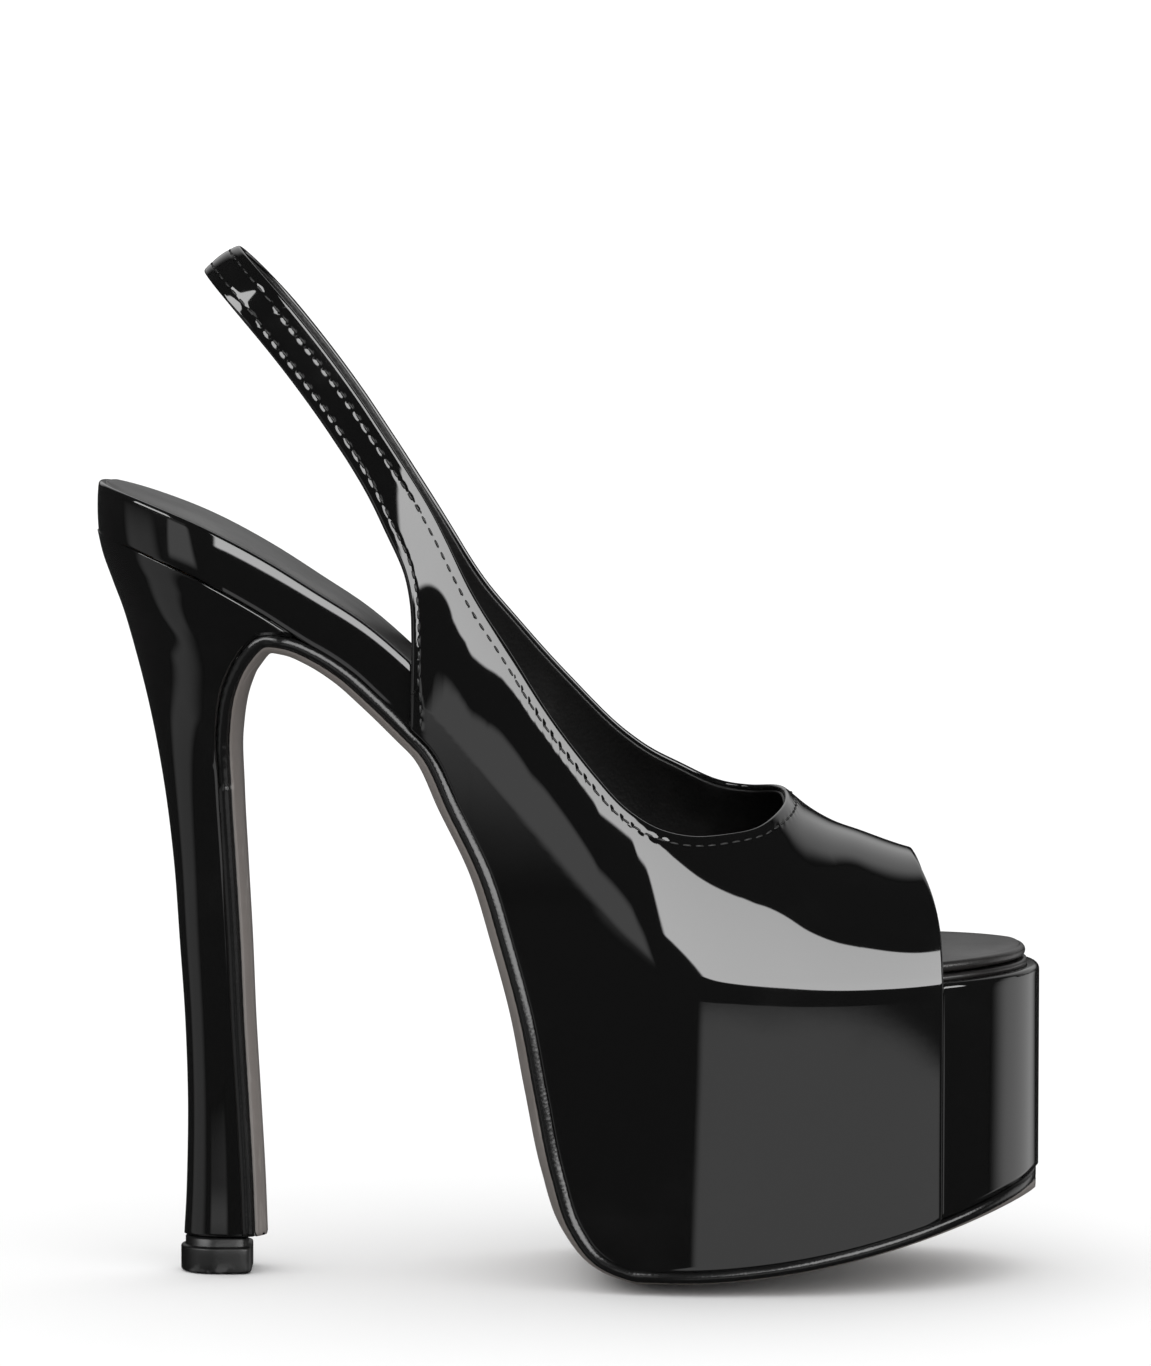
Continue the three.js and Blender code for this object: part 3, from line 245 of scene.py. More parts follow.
def finish(name, pattern, **fixed):
    """A material whose fixed sockets are set, and whose varying ones pattern(place) gives by name: it gets
    the point in Object coordinates, and "height" is a bump in millimetres."""
    material = bpy.data.materials.new(name)
    material.use_nodes = True
    tree = material.node_tree
    shader = tree.nodes["Principled BSDF"]
    for socket, value in fixed.items():
        shader.inputs[socket.replace("_", " ")].default_value = value
    place = Wire(tree).node("ShaderNodeTexCoord", output=3)
    varying = pattern(place)
    height = varying.pop("height", None)
    if height is not None:
        varying["Normal"] = place.node("ShaderNodeBump", {}, {"Distance": 0.001, "Height": height})
    for socket, wire in varying.items():
        tree.links.new(wire.socket, shader.inputs[socket])
    return material


def patent_pattern(place):
    """Varnished black leather: long soft ripples and a faint orange peel under the gloss, with smudges from
    handling that dull it."""
    ripple = place.noise(34, 1.0)
    peel = place.noise(620, 2.0)
    smudge = place.noise(28, 5.0, 0.62).between(0.5, 0.72)
    return {
        "height": ripple * 0.05 + peel * 0.0006,
        "Roughness": smudge * 0.05 + 0.035,
        "Base Color": smudge.colours(0.0045, 0.0065),
    }


patent = finish("patent_leather", patent_pattern, Coat_Weight=0.35, Coat_Roughness=0.02, IOR=1.5)


# ---- Seat and insole ----
# The foot stands on a padded sock of thin satin leather over foam, on a board wrapped in the same leather.
# The edges are turned and rounded, and at the open toe both layers show.
SOCK_INSET, SEAT_INSET = 3.1, 2.45
QUARTER_X = along(0.3367)                      # back edge of the quarters
MERGED = 2e-6                                  # metres within which points are one


def quads_of(rows, columns):
    """Corners of the faces between the points of a grid, which are counted row by row."""
    corner = np.arange(rows * columns).reshape(rows, columns)
    quads = np.stack([corner[:-1, :-1], corner[1:, :-1], corner[1:, 1:], corner[:-1, 1:]], axis=-1)
    return quads.reshape(-1, 4)


def mesh_from(name, grids, marks=None):
    """One closed mesh from grids of points in millimetres, whose shared edges are merged. Faces are turned
    out. marks are grids of numbers that go with the points, kept as the attribute "paint"."""
    parts, faces, start = [], [], 0
    for grid in grids:
        rows, columns = grid.shape[:2]
        parts.append(grid.reshape(-1, 3))
        faces.append(start + quads_of(rows, columns))
        start += rows * columns
    mesh = bpy.data.meshes.new(name)
    mesh.from_pydata(np.concatenate(parts) * 0.001, [], np.concatenate(faces))
    if marks is not None:
        paint = np.concatenate([mark.ravel() for mark in marks]).astype(np.float32)
        mesh.attributes.new("paint", "FLOAT", "POINT").data.foreach_set("value", paint)
    body = bmesh.new()
    body.from_mesh(mesh)
    bmesh.ops.remove_doubles(body, verts=body.verts, dist=MERGED)
    bmesh.ops.dissolve_degenerate(body, edges=body.edges, dist=MERGED)
    bmesh.ops.recalc_face_normals(body, faces=body.faces)
    body.to_mesh(mesh)
    body.free()
    mesh.shade_smooth()
    made = bpy.data.objects.new(name, mesh)
    bpy.context.scene.collection.objects.link(made)
    return made


def dress(piece, body, material, slot, *stands_for):
    """Gives a piece its finish and its body unless it is blended, and hides the CAD nodes it stands for. slot
    is not used."""
    piece.data.materials.clear()
    piece.data.materials.append(material)
    if body:
        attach(piece, body)
    if stands_for:
        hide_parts(*stands_for)


def stack_inset(x, seat, forefoot):
    """Inset of a layer: seat behind the quarters, forefoot in front of them."""
    return mix(seat, forefoot, ease(x, QUARTER_X - 6, QUARTER_X + 4))


def pad(name, top, thickness, seat, forefoot, crown):
    """Layer under the foot. Round it goes a half circle from foot to top, then its face runs in to the middle
    line, where crown lifts it by crown * (1 - r^4); turn goes round the outline and r from the middle out."""
    turn = np.linspace(0, 1, 241)[:, None]
    share = (1 - np.cos(2 * np.pi * turn)) / 2
    side = np.where(turn < 0.5, -1, 1)
    radius = thickness / 2
    angle = np.linspace(-np.pi / 2, np.pi / 2, 13)
    r = np.linspace(0, 1, 15)[:-1] ** 0.8
    face, turned = np.ones_like(r), np.ones_like(angle)
    pulled = np.concatenate([r, turned, r[::-1]])[None]
    edge = np.concatenate([face * radius, radius * (1 - np.cos(angle)), face * radius])[None]
    depth = np.concatenate([face * thickness, radius * (1 - np.sin(angle)), face * 0])[None]
    lift = np.concatenate([face * 0, turned * 0, crown * (1 - r[::-1] ** 4)])[None]
    start = -OVERHANG - SEAT_SET_IN + seat + edge
    end = TOE_X - forefoot - edge
    x = mix(start, end, share)
    inset = stack_inset(x, seat, forefoot) + edge
    rims = [outline(np.clip(x, start, end), s, inset) for s in (-1, 1)]
    rim = np.where(side < 0, rims[0], rims[1])
    middle = (rims[0] + rims[1]) / 2
    y = mix(middle, rim, pulled)
    z = layer(x, top + depth) + lift * np.minimum(1, np.abs(rims[1] - rims[0]) / 20)
    return mesh_from(name, [np.stack([x, y, z], axis=-1)])


def sock_pattern(place):
    """Satin synthetic leather: fine pebbled grain and a soft cloudy sheen, smoother in some patches than in
    others.
    """
    grain = place.cells(1500)
    cloud = place.noise(45, 4.0)
    crease = place.noise(130, 2.0, 0.5, (1, 0.35, 1))
    return {
        "height": grain * 0.03 + crease * 0.05 + cloud * 0.06,
        "Roughness": cloud.between(0.3, 0.7, 0.3, 0.42),
        "Base Color": cloud.colours((0.013, 0.012, 0.012), (0.02, 0.018, 0.017)),
    }


sock_leather = finish("sock_leather", sock_pattern, IOR=1.45, Coat_Weight=0.15, Coat_Roughness=0.25)
SOCK_CROWN, SOCK_PROUD = 0.7, 0.1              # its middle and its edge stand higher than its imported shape
sock_depth, board_depth = SOCK + FOAM + 0.25, SOCK + GAP + FOAM + 0.15
sock = pad("padded_sock", -SOCK_PROUD, sock_depth, SEAT_INSET, SOCK_INSET, SOCK_CROWN)
dress(sock, "shoe", sock_leather, "sock", "insole_sock", "sock_foam_pad")
board = pad("wrapped_insole_board", board_depth, BOARD + 0.1, SEAT_INSET, SOCK_INSET - 0.5, 0.0)
dress(board, "shoe", sock_leather, "board", "insole_board")


# ---- Sole line ----
# The sole is one strip of leather board. It runs from the heel tip up the heel's breast, under the waist and
# the arch, down the back of the platform and along under the ball to the toe.
TIP_BACK, TIP_TOP, SHAFT_FRONT = -8.2, 7.95, 4.9
SOLE_EDGE, BALL_CAMBER, WAIST_CAMBER, SOLE_INSET = 2.5, 2.8, 2.6, 0.4
FLAT_START, FLAT_END = along(0.568), along(0.6165)     # the sole lies flat between them
SOLE_MIDDLE = SOLE_EDGE + BALL_CAMBER


def heel_lift(share):
    """Height of a share of the way from the heel's tip to its breast under the seat."""
    return mix(TIP_TOP, float(layer(along(0.212), SEAT_STACK)), share)


breast_points = [
    (SHAFT_FRONT, TIP_TOP), (SHAFT_FRONT - 0.4, heel_lift(0.087)), (SHAFT_FRONT - 1.3, heel_lift(0.218)),
    (SHAFT_FRONT - 2.3, heel_lift(0.353)), (SHAFT_FRONT - 3, heel_lift(0.488)),
    (SHAFT_FRONT - 3.9, heel_lift(0.616)), (SHAFT_FRONT - 4.7, heel_lift(0.736)),
    (SHAFT_FRONT - 4.9, heel_lift(0.833)), (along(0.138), heel_lift(0.912)),
    (along(0.153), heel_lift(0.961)),
    (along(0.178), float(layer(along(0.178), SEAT_STACK + 4.2))),
    (along(0.212), float(layer(along(0.212), SEAT_STACK))),
]


def spring(x):
    """Height of the sole's inner face in front of the ball: it rises as the power 1.75 of the way on."""
    return SOLE_MIDDLE + TOE_SPRING * (np.maximum(0, x - FLAT_END) / (TOE_X - FLAT_END)) ** 1.75


sole_curve = curve_through([
    *breast_points[:-1],
    (along(0.205), float(layer(along(0.205), SEAT_STACK + 1.2))),
    *[(along(s), float(layer(along(s), SEAT_STACK))) for s in (0.235, 0.265, 0.3, 0.335, 0.353)],
    *[(along(s), level * FOREFOOT_HEIGHT) for s, level in (
        (0.3855, 1.454), (0.4167, 1.268), (0.4415, 1.038), (0.4605, 0.834), (0.4766, 0.593), (0.494, 0.352),
        (0.5117, 0.2), (0.5336, 0.117))],
    (FLAT_START, SOLE_MIDDLE), (FLAT_END, SOLE_MIDDLE),
    *[(along(s), float(spring(along(s)))) for s in (0.65, 0.7, 0.75, 0.8, 0.85, 0.9, 0.95, 0.997)],
])
sole_share = np.linspace(0, 1, 421)
sole_x, sole_z = sole_curve(sole_share)
fore = sole_share > 0.5
sprung = np.where(sole_x > FLAT_START, spring(sole_x), np.maximum(sole_z, SOLE_MIDDLE))
sole_z = np.where(fore, sprung, sole_z)


def sole_top(x):
    """Height of the sole's inner face at x, from the waist forward."""
    front = sole_share > 1 / 3
    return np.interp(x, sole_x[front], sole_z[front])


def above_sole(x):
    """Height of what stands on the sole, one seam above it, square to it."""
    return sole_top(x) + SOLE_SEAM * np.sqrt(1 + slope_of(sole_top, x) ** 2)


# ---- Upper and slingback strap ----
# Quarters, vamp and strap are cut from one black patent hide: it covers the foot and the platform's sides in
# one piece, its edges are turned in and stitched, and the strap runs on from the quarters round the heel.
ARCH, HOLLOW = 2.2, 7.0                        # power of the section; its hollow is a quarter of this deep
ROOT = np.array([along(0.352), rise(0.852)])   # where the strap is stitched on
LOOP_RISE = 48.5                               # middle of the loop's back above the seat
LOOP_BACK = np.array([along(0.133), SEAT_HEIGHT + LOOP_RISE])
LOOP_RADIUS, STRAP_HALF, STRAP_FOOT_HALF, STRAP_BOW = 17.0, 4.3, 5.6, 2.8
STRAP_LENGTH = float(np.hypot(*(LOOP_BACK - ROOT)))
STRAP_LINE = (LOOP_BACK - ROOT) / STRAP_LENGTH
STRAP_SQUARE = np.array([STRAP_LINE[1], -STRAP_LINE[0]])
LOOP_START = STRAP_LENGTH - LOOP_RADIUS
THROAT_X, PEEP_X, PEEP_LEAN = along(0.732), TOE_X - 22.9, 5.5
QUARTER_FOOT = along(0.3378)                   # where the quarter's back edge meets the sole
STITCH_IN, STITCH_PITCH, STITCH_SINK, SINK_REACH = 1.9, 2.9, 0.13, 0.45
ROWS = 57                                      # from the topline to the sole, with the feather in the middle
LOOP_COLUMNS, STRAP_COLUMNS, QUARTER_COLUMNS, SIDE_COLUMNS, VAMP_COLUMNS, CUT_COLUMNS = 23, 90, 80, 90, 75, 40
STITCHED_BACK = LOOP_COLUMNS + STRAP_COLUMNS + QUARTER_COLUMNS - 4


def section(x, level, side):
    """y and z of the shoe's section at x. Level 1 is the ridge, 0 the feather edge, -1 the wall's foot. Above
    the feather it is a superellipse from the outline to the ridge, hollowed at mid height from the ball on;
    below it the wall leans in from the outline."""
    angle = np.clip(level, 0, 1) * np.pi / 2
    c, s = np.abs(np.cos(angle)), np.sin(angle)
    size = (c ** ARCH + s ** ARCH) ** (-1 / ARCH)
    lift = s * size
    edge, shift = feather(x), ridge_shift(x)
    hollow = HOLLOW * ease(x, along(0.58), along(0.68)) * lift * (1 - lift)
    arch_y = shift + (outline(x, side) - shift) * c * size - side * hollow
    wall_z = mix(edge, above_sole(x), np.clip(-level, 0, 1))
    wall_y = outline(x, side) - side * WALL_LEAN * (edge - wall_z)
    y = np.where(level > 0, arch_y, wall_y)
    return y, np.where(level > 0, mix(edge, ridge_line(x), lift), wall_z)


def level_at(x, z):
    """Level of the section's point at height z, above the feather."""
    lift = np.clip((z - feather(x)) / (ridge_line(x) - feather(x)), 0, 0.999)
    above = np.arctan2(lift, (1 - lift ** ARCH) ** (1 / ARCH)) / (np.pi / 2)
    below = np.clip((z - feather(x)) / (feather(x) - above_sole(x)), -1, 0)
    return np.where(z > feather(x), above, below)


def strap_edge(distance, sign):
    """Side view of a strap edge, front 1 or back -1, at a distance from its root: the middle bows forward as
    4 * bow * t * (1 - t), and it widens towards the quarter."""
    t = np.asarray(distance, float)[:, None] / STRAP_LENGTH
    half = mix(STRAP_FOOT_HALF, STRAP_HALF, ease(t * STRAP_LENGTH, -4, 24))
    middle = ROOT + STRAP_LINE * t * STRAP_LENGTH + STRAP_SQUARE * 4 * STRAP_BOW * t * (1 - t)
    return middle + sign * half * STRAP_SQUARE


def charted(points, side=-1):
    """x and level, counted on over the ridge on the inner side, of side view points."""
    points = np.asarray(points, float)
    level = level_at(points[:, 0], points[:, 1])
    return np.column_stack([points[:, 0], level if side < 0 else 2 - level])


STRAP_CHARTED = 34                             # below this the strap's edges belong to the quarter's chart
edge_marks = np.array([STRAP_CHARTED, 26.0, 18, 10])
outer_topline = [(0.3965, 0.772), (0.428, 0.681), (0.469, 0.543), (0.5216, 0.405), (0.5526, 0.331),
                 (0.5838, 0.29), (0.6245, 0.2635)]
inner_topline = [(0.392, 0.822), (0.436, 0.709), (0.479, 0.604), (0.501, 0.56), (0.543, 0.467),
                 (0.587, 0.398), (0.63, 0.357)]
throat_marks = [(0.66, 0.46, 0.59), (0.697, 0.54, 0.67), (0.722, 0.68, 0.81)]
CHART_WEIGHT = 60.0                            # millimetres that one level counts for


def relaxed(curve, weight):
    """The curve with its small waves taken out: 241 points of it, each the mean of its neighbours weighed by
    a hanning window. The ends are carried on by turning them half round, so that they stay."""
    reach = 8
    points = np.column_stack(curve(np.linspace(0, 1, 241)))
    first, last = 2 * points[0] - points[reach:0:-1], 2 * points[-1] - points[-2:-reach - 2:-1]
    carried = np.concatenate([first, points, last])
    window = np.hanning(2 * reach + 3)[1:-1]
    window /= window.sum()
    calmed = [np.convolve(carried[:, i], window, "valid") for i in (0, 1)]
    return curve_through(np.column_stack(calmed), weight)


topline_chart = relaxed(curve_through([
    *charted(strap_edge(edge_marks, 1)),
    *charted([(along(a), rise(b)) for a, b in outer_topline]),
    *[(along(a), outer) for a, outer, _ in throat_marks],
    (THROAT_X, 1.0),
    *[(along(a), 2 - inner) for a, _, inner in throat_marks[::-1]],
    *charted([(along(a), rise(b)) for a, b in inner_topline[::-1]], 1),
    *charted(strap_edge(edge_marks[::-1], 1), 1),
], CHART_WEIGHT), CHART_WEIGHT)
back_edge = curve_through([
    *strap_edge(edge_marks, -1), (along(0.3318), rise(0.805)), (along(0.3362), rise(0.755)),
    (along(0.3377), rise(0.679)), (along(0.3367), rise(0.55)), (along(0.3372), rise(0.48)),
    (QUARTER_FOOT, float(above_sole(QUARTER_FOOT))),
])


def evenly(curve, start, end, count):
    """Points of a curve at even steps of length between two shares of it."""
    share = np.linspace(start, end, 800)
    points = np.column_stack(curve(share))
    scale = np.array([1, CHART_WEIGHT if curve is topline_chart else 1])
    run = np.concatenate([[0], np.cumsum(np.hypot(*(np.diff(points, axis=0) * scale).T))])
    at = np.interp(np.linspace(0, run[-1], count), run, share)
    return np.column_stack(curve(at))


def share_where(curve, test):
    """First share of a curve at which the test of its two coordinates holds."""
    share = np.linspace(0, 1, 4001)
    return share[np.argmax(test(*curve(share)))]


def strap_y(distance, side):
    """y of the strap beside the ankle: from the section at its root to the loop's half width, t of the way
    as 1 - (1 - t)^1.6."""
    t = np.clip(distance / LOOP_START, 0, 1)
    root_y = section(ROOT[0], level_at(*ROOT), side)[0]
    return mix(root_y, side * LOOP_RADIUS, 1 - (1 - t) ** 1.6)


def row_shares(rows, crowded):
    """Rows from 0 to 1 in each column, closer together at both edges by tanh where crowded is above 0."""
    s = np.linspace(-1, 1, rows)[None]
    beta = np.maximum(crowded, 1e-3)[:, None]
    return 0.5 + 0.5 * np.tanh(beta * s) / np.tanh(beta)


def side_chart(side, rows, crowding, lower):
    """Chart x, level and loop angle of one side of the upper, as a grid, and the count of its columns along
    the opening. The columns run from the back of the loop down the strap, along the quarter and the vamp to
    the cut of the toe, the rows from the topline to the lower edge, which lies at the level lower. Where that
    is below 0, the middle row follows the feather edge."""
    loop = np.linspace(np.pi / 2, 0, LOOP_COLUMNS + 1)[:-1]
    reach = np.concatenate([LOOP_START + LOOP_RADIUS * np.sin(loop),
                            np.linspace(LOOP_START, STRAP_CHARTED, STRAP_COLUMNS + 1)[:-1]])

    def passes(x):
        """Share of the topline at which it passes x on this side."""
        if side < 0:
            return share_where(topline_chart, lambda at, level: at > x)
        return 1 - share_where(lambda s: topline_chart(1 - s), lambda at, level: at > x)

    ends = [0 if side < 0 else 1, passes(along(0.44)), passes(along(0.607)),
            share_where(topline_chart, lambda x, level: level >= 1)]
    top = np.concatenate([charted(strap_edge(reach, 1), side),
                          evenly(topline_chart, ends[0], ends[1], QUARTER_COLUMNS)[:-1],
                          evenly(topline_chart, ends[1], ends[2], SIDE_COLUMNS)[:-1],
                          evenly(topline_chart, ends[2], ends[3], VAMP_COLUMNS)])
    top[:, 1] = np.where(side < 0, top[:, 1], 2 - top[:, 1])
    top[-1] = THROAT_X, 1
    sole = curve_through([(x, float(above_sole(x))) for x in np.concatenate([
        [QUARTER_FOOT], np.linspace(QUARTER_FOOT + 3, along(0.44), 7),
        np.linspace(along(0.447), along(0.56), 16), np.linspace(along(0.58), PEEP_X, 10)])])
    under = [share_where(sole, lambda x, z: x > along(mark)) for mark in (0.62, 0.82)]
    back = charted(evenly(back_edge, 0, 1, QUARTER_COLUMNS)[:-1])
    foot = np.concatenate([evenly(sole, 0, under[0], SIDE_COLUMNS)[:-1],
                           evenly(sole, under[0], under[1], VAMP_COLUMNS)])
    foot = np.column_stack([foot[:, 0], np.full(len(foot), -1.0)])
    bottom = np.concatenate([charted(strap_edge(reach, -1)), back, foot])
    bottom[:, 1] = np.maximum(bottom[:, 1], lower)
    count = len(top)
    column = np.arange(count)
    row_share = row_shares(rows, crowding * ease(column, len(reach), len(reach) + SIDE_COLUMNS))
    a, b = top[:, None], bottom[:, None]
    fold = mix(a[..., 1], b[..., 1], 0.5)
    if lower < 0:
        fold = fold * (1 - ease(column, len(reach) + 70, len(reach) + 140)[:, None])
    upper_part = np.clip(row_share * 2, 0, 1)
    lower_part = np.clip(row_share * 2 - 1, 0, 1)
    level = mix(mix(a[..., 1], fold, upper_part), b[..., 1], lower_part)
    fallen = (a[..., 1] - level) / np.maximum(a[..., 1] - b[..., 1], 1e-6)
    swing = 1 + 2 * ease(column, count - VAMP_COLUMNS, count - 1)[:, None]
    x = mix(a[..., 0], b[..., 0], 1 - (1 - fallen) ** swing)
    steps = np.linspace(0, 1, CUT_COLUMNS + 1)[1:, None]
    cut = PEEP_X - PEEP_LEAN * np.sin(np.clip(level[-1:], 0, 1) * np.pi / 2) ** 3
    x = np.concatenate([x, mix(x[-1:], cut, steps)])
    level = np.concatenate([level, np.repeat(level[-1:], CUT_COLUMNS, axis=0)])
    angle = np.zeros(len(x))
    angle[:len(loop)] = loop
    return x, level, angle, count


def side_points(side, chart):
    """Points of a chart in space: the section, which gives way to the strap's own y above its root, and on
    the loop to a half circle."""
    x, level, angle = chart[:3]
    y, z = section(x, level, side)
    distance = (x - ROOT[0]) * STRAP_LINE[0] + (z - ROOT[1]) * STRAP_LINE[1]
    y = mix(y, strap_y(distance, side), ease(distance, -14, 22))
    on_loop = (angle > 0)[:, None]
    y = np.where(on_loop, side * LOOP_RADIUS * np.cos(angle)[:, None], y)
    return np.stack([x, y, z], axis=-1)


def unit(vectors):
    """Vectors scaled to length 1."""
    return vectors / np.maximum(np.linalg.norm(vectors, axis=-1, keepdims=True), 1e-9)


def outward(points, away):
    """Unit normals of a grid, on the side that mostly faces along away."""
    normal = unit(np.cross(np.gradient(points, axis=0), np.gradient(points, axis=1)))
    return normal * (-1 if np.sum(normal @ np.array(away, float)) < 0 else 1)


def down_rows(points):
    """Length along each column from its first row."""
    step = np.linalg.norm(np.diff(points, axis=1), axis=-1)
    return np.concatenate([np.zeros((len(points), 1)), np.cumsum(step, axis=1)], axis=1)


def hide(lower, rows, crowding):
    """Both sides of the upper as (points, normals), whose normals agree where the sides meet."""
    sides = []
    for side in (-1, 1):
        chart = side_chart(side, rows, crowding, lower)
        points = side_points(side, chart)
        sides.append([points, outward(points, (0, side, 0))])
    throat = chart[3] - 1
    behind = unit((sides[0][1][0] + sides[1][1][0]) * (1, 0, 1))
    over = unit(sides[0][1][throat:, 0] + sides[1][1][throat:, 0])
    for _, normal in sides:
        normal[0], normal[throat:, 0] = behind, over
    return sides, throat


def rim(points, normal, outwards, thickness):
    """Turned edge: a half circle from a sheet's face to its back, bulging along outwards."""
    angle = np.linspace(0, np.pi, 7)[None, :, None]
    centre = (points - normal * thickness / 2)[:, None]
    return centre + thickness / 2 * (normal[:, None] * np.cos(angle) + outwards[:, None] * np.sin(angle))


def edge_way(edge, inside, normal):
    """Directions out of a sheet at its edge: square to the edge and to the normals, away from the row
    inside."""
    way = unit(np.cross(unit(np.gradient(edge, axis=0)), normal))
    return way * (-1 if np.sum(way * (edge - inside)) < 0 else 1)


def sheet_grids(sides, throat, thickness):
    """Grids of a closed sheet from its two sides: faces, backs, and turned edges at topline, foot and cut."""
    grids, edges = [], []
    for points, normal in sides:
        grids += [points, points - normal * thickness]
        top, top_normal = points[:throat + 1, 0], normal[:throat + 1, 0]
        edges.append([
            [top, top_normal, edge_way(top, points[:throat + 1, 1], top_normal)],
            [points[:, -1], normal[:, -1], edge_way(points[:, -1], points[:, -2], normal[:, -1])],
            [points[-1], normal[-1], edge_way(points[-1], points[-2], normal[-1])]])
        foot, cut = edges[-1][1][2], edges[-1][2][2]
        foot[-1] = cut[-1] = unit(foot[-1] + cut[-1])
    for kind, spot in ((0, 0), (0, -1), (1, 0), (2, 0)):
        shared = unit(edges[0][kind][2][spot] + edges[1][kind][2][spot])
        edges[0][kind][2][spot] = edges[1][kind][2][spot] = shared
    return grids + [rim(*edge, thickness) for side_edges in edges for edge in side_edges]


def slant(points):
    """How squarely each column meets its first row: the sine of the angle between them."""
    ahead = unit(np.gradient(points[:, 0], axis=0))
    return np.clip(np.linalg.norm(np.cross(ahead, unit(points[:, 2] - points[:, 0])), axis=-1), 0.25, 1)


def press_stitches(points, normal, throat):
    """Sinks the stitched rows into the hide as exp(-d^2) across each row, deepest midway in each stitch."""
    run = down_rows(points)
    total = run[:, -1:]
    steps = np.linalg.norm(np.diff(points[:, 3], axis=0), axis=-1)
    track = np.concatenate([[0], np.cumsum(steps)])[:, None]
    beat = 0.5 + 0.5 * np.cos(2 * np.pi * track / STITCH_PITCH)
    column = np.arange(len(points))[:, None]
    top = np.exp(-((run * slant(points)[:, None] - STITCH_IN) / SINK_REACH) ** 2) * (column <= throat)
    low = np.exp(-((total - run - STITCH_IN) / SINK_REACH) ** 2) * (column < STITCHED_BACK)
    return points - normal * (STITCH_SINK * beat * (top + low))[..., None]


plain, throat = hide(-1.0, ROWS, 1.5)
pressed = [(press_stitches(points, normal, throat), normal) for points, normal in plain]
upper = mesh_from("patent_upper_and_strap", sheet_grids(pressed, throat, UPPER))
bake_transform(upper)
dress(upper, None, patent, "patent", "upper_outer", "strap_outer")


# ---- Lining ----
# Thin dark goat leather is glued behind the upper and the strap, with a strip of elastic between strap and
# lining. It ends at the insole board, and stays just inside every turned edge.
LINING_ROWS, EDGE_MARGIN, BEHIND = 29, 0.35, UPPER + 0.04


def within(points, margin, rows):
    """Rows laid again in each column, evenly, between margins in millimetres from both its ends."""
    run = down_rows(points)
    goal = mix(margin[:, None], run[:, -1:] - margin.max(), np.linspace(0, 1, rows)[None])
    i = np.clip(np.sum(run[:, None] <= goal[..., None], axis=-1) - 1, 0, points.shape[1] - 2)
    column = np.arange(len(points))[:, None]
    t = (goal - run[column, i]) / np.maximum(run[column, i + 1] - run[column, i], 1e-9)
    return mix(points[column, i], points[column, i + 1], t[..., None])


lining_sides, throat = hide(0.0, LINING_ROWS, 0.0)
columns = np.arange(len(lining_sides[0][0]))
margin = EDGE_MARGIN * (1 - ease(columns, throat - 14, throat))
lining_sides = [(within(points - normal * BEHIND, margin, LINING_ROWS)[:-2], normal[:-2])
                for points, normal in lining_sides]
lining = mesh_from("upper_and_strap_lining", sheet_grids(lining_sides, throat, LINING))


def lining_pattern(place):
    """Goat leather, dyed black: pores, fine creases and a low satin sheen, a little greyer where rubbed."""
    pores = place.cells(1100)
    rubbed = place.noise(60, 4.0).between(0.45, 0.75)
    return {
        "height": pores * 0.05 + place.noise(240, 3.0) * 0.05,
        "Roughness": rubbed.between(0, 1, 0.42, 0.56),
        "Base Color": rubbed.colours((0.006, 0.0057, 0.0055), (0.012, 0.011, 0.0105)),
    }


lining_leather = finish("lining_leather", lining_pattern, IOR=1.4)
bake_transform(lining)
dress(lining, None, lining_leather, "lining", "upper_lining", "strap_lining")


# ---- Stitching ----
# Black polyester thread holds the turned edges: one row round the topline, both edges of the strap and the
# back edges of the quarters, eight or nine stitches to the inch.
STITCH_LENGTH, THREAD_RADIUS, STITCH_RISE, STITCH_BED = 2.1, 0.26, 0.16, 0.12


def at_depth(points, normal, depth):
    """Point and normal of each column at its depth in millimetres from its first row."""
    run = down_rows(points)
    i = np.clip(np.sum(run <= depth[:, None], axis=1) - 1, 0, points.shape[1] - 2)
    column = np.arange(len(points))
    t = ((depth - run[column, i]) / np.maximum(run[column, i + 1] - run[column, i], 1e-9))[:, None]
    spot = mix(points[column, i], points[column, i + 1], t)
    return spot, unit(mix(normal[column, i], normal[column, i + 1], t))


def stitches(name, rows):
    """One mesh of lozenge-shaped stitches along rows of (points, normals), a pitch apart: each is a tube of
    six sides whose radius follows the root of the sine of the way along it, sunk at both ends."""
    grids = []
    t = np.linspace(0, np.pi, 5)
    a = np.linspace(0, 2 * np.pi, 7)
    for points, normal in rows:
        run = np.concatenate([[0], np.cumsum(np.linalg.norm(np.diff(points, axis=0), axis=-1))])
        at = np.arange(STITCH_PITCH, run[-1], STITCH_PITCH)
        spot, out, tip = (np.column_stack([np.interp(at + d, run, v[:, i]) for i in range(3)])
                          for v, d in ((points, 0), (normal, 0), (points, 0.6)))
        ahead = unit(tip - spot)
        out = unit(out)
        beside = np.cross(out, ahead)
        body = (-np.cos(t) * STITCH_LENGTH / 2)[None, :, None, None] * ahead[:, None, None]
        high = (np.sin(t) * STITCH_RISE - STITCH_BED)[None, :, None, None] * out[:, None, None]
        ring = np.cos(a)[:, None] * beside[:, None, None] + np.sin(a)[:, None] * 0.8 * out[:, None, None]
        tube = (np.sin(t) ** 0.5 * THREAD_RADIUS)[None, :, None, None] * ring
        grids += list(spot[:, None, None] + body + high + tube)
    return mesh_from(name, grids)


seams = []
for points, normal in plain:
    seams.append(at_depth(points[:throat], normal[:throat], STITCH_IN / slant(points)[:throat]))
    back = points[:STITCHED_BACK, ::-1], normal[:STITCHED_BACK, ::-1]
    seams.append(at_depth(*back, np.full(STITCHED_BACK, STITCH_IN)))
thread_row = stitches("edge_stitching", seams)


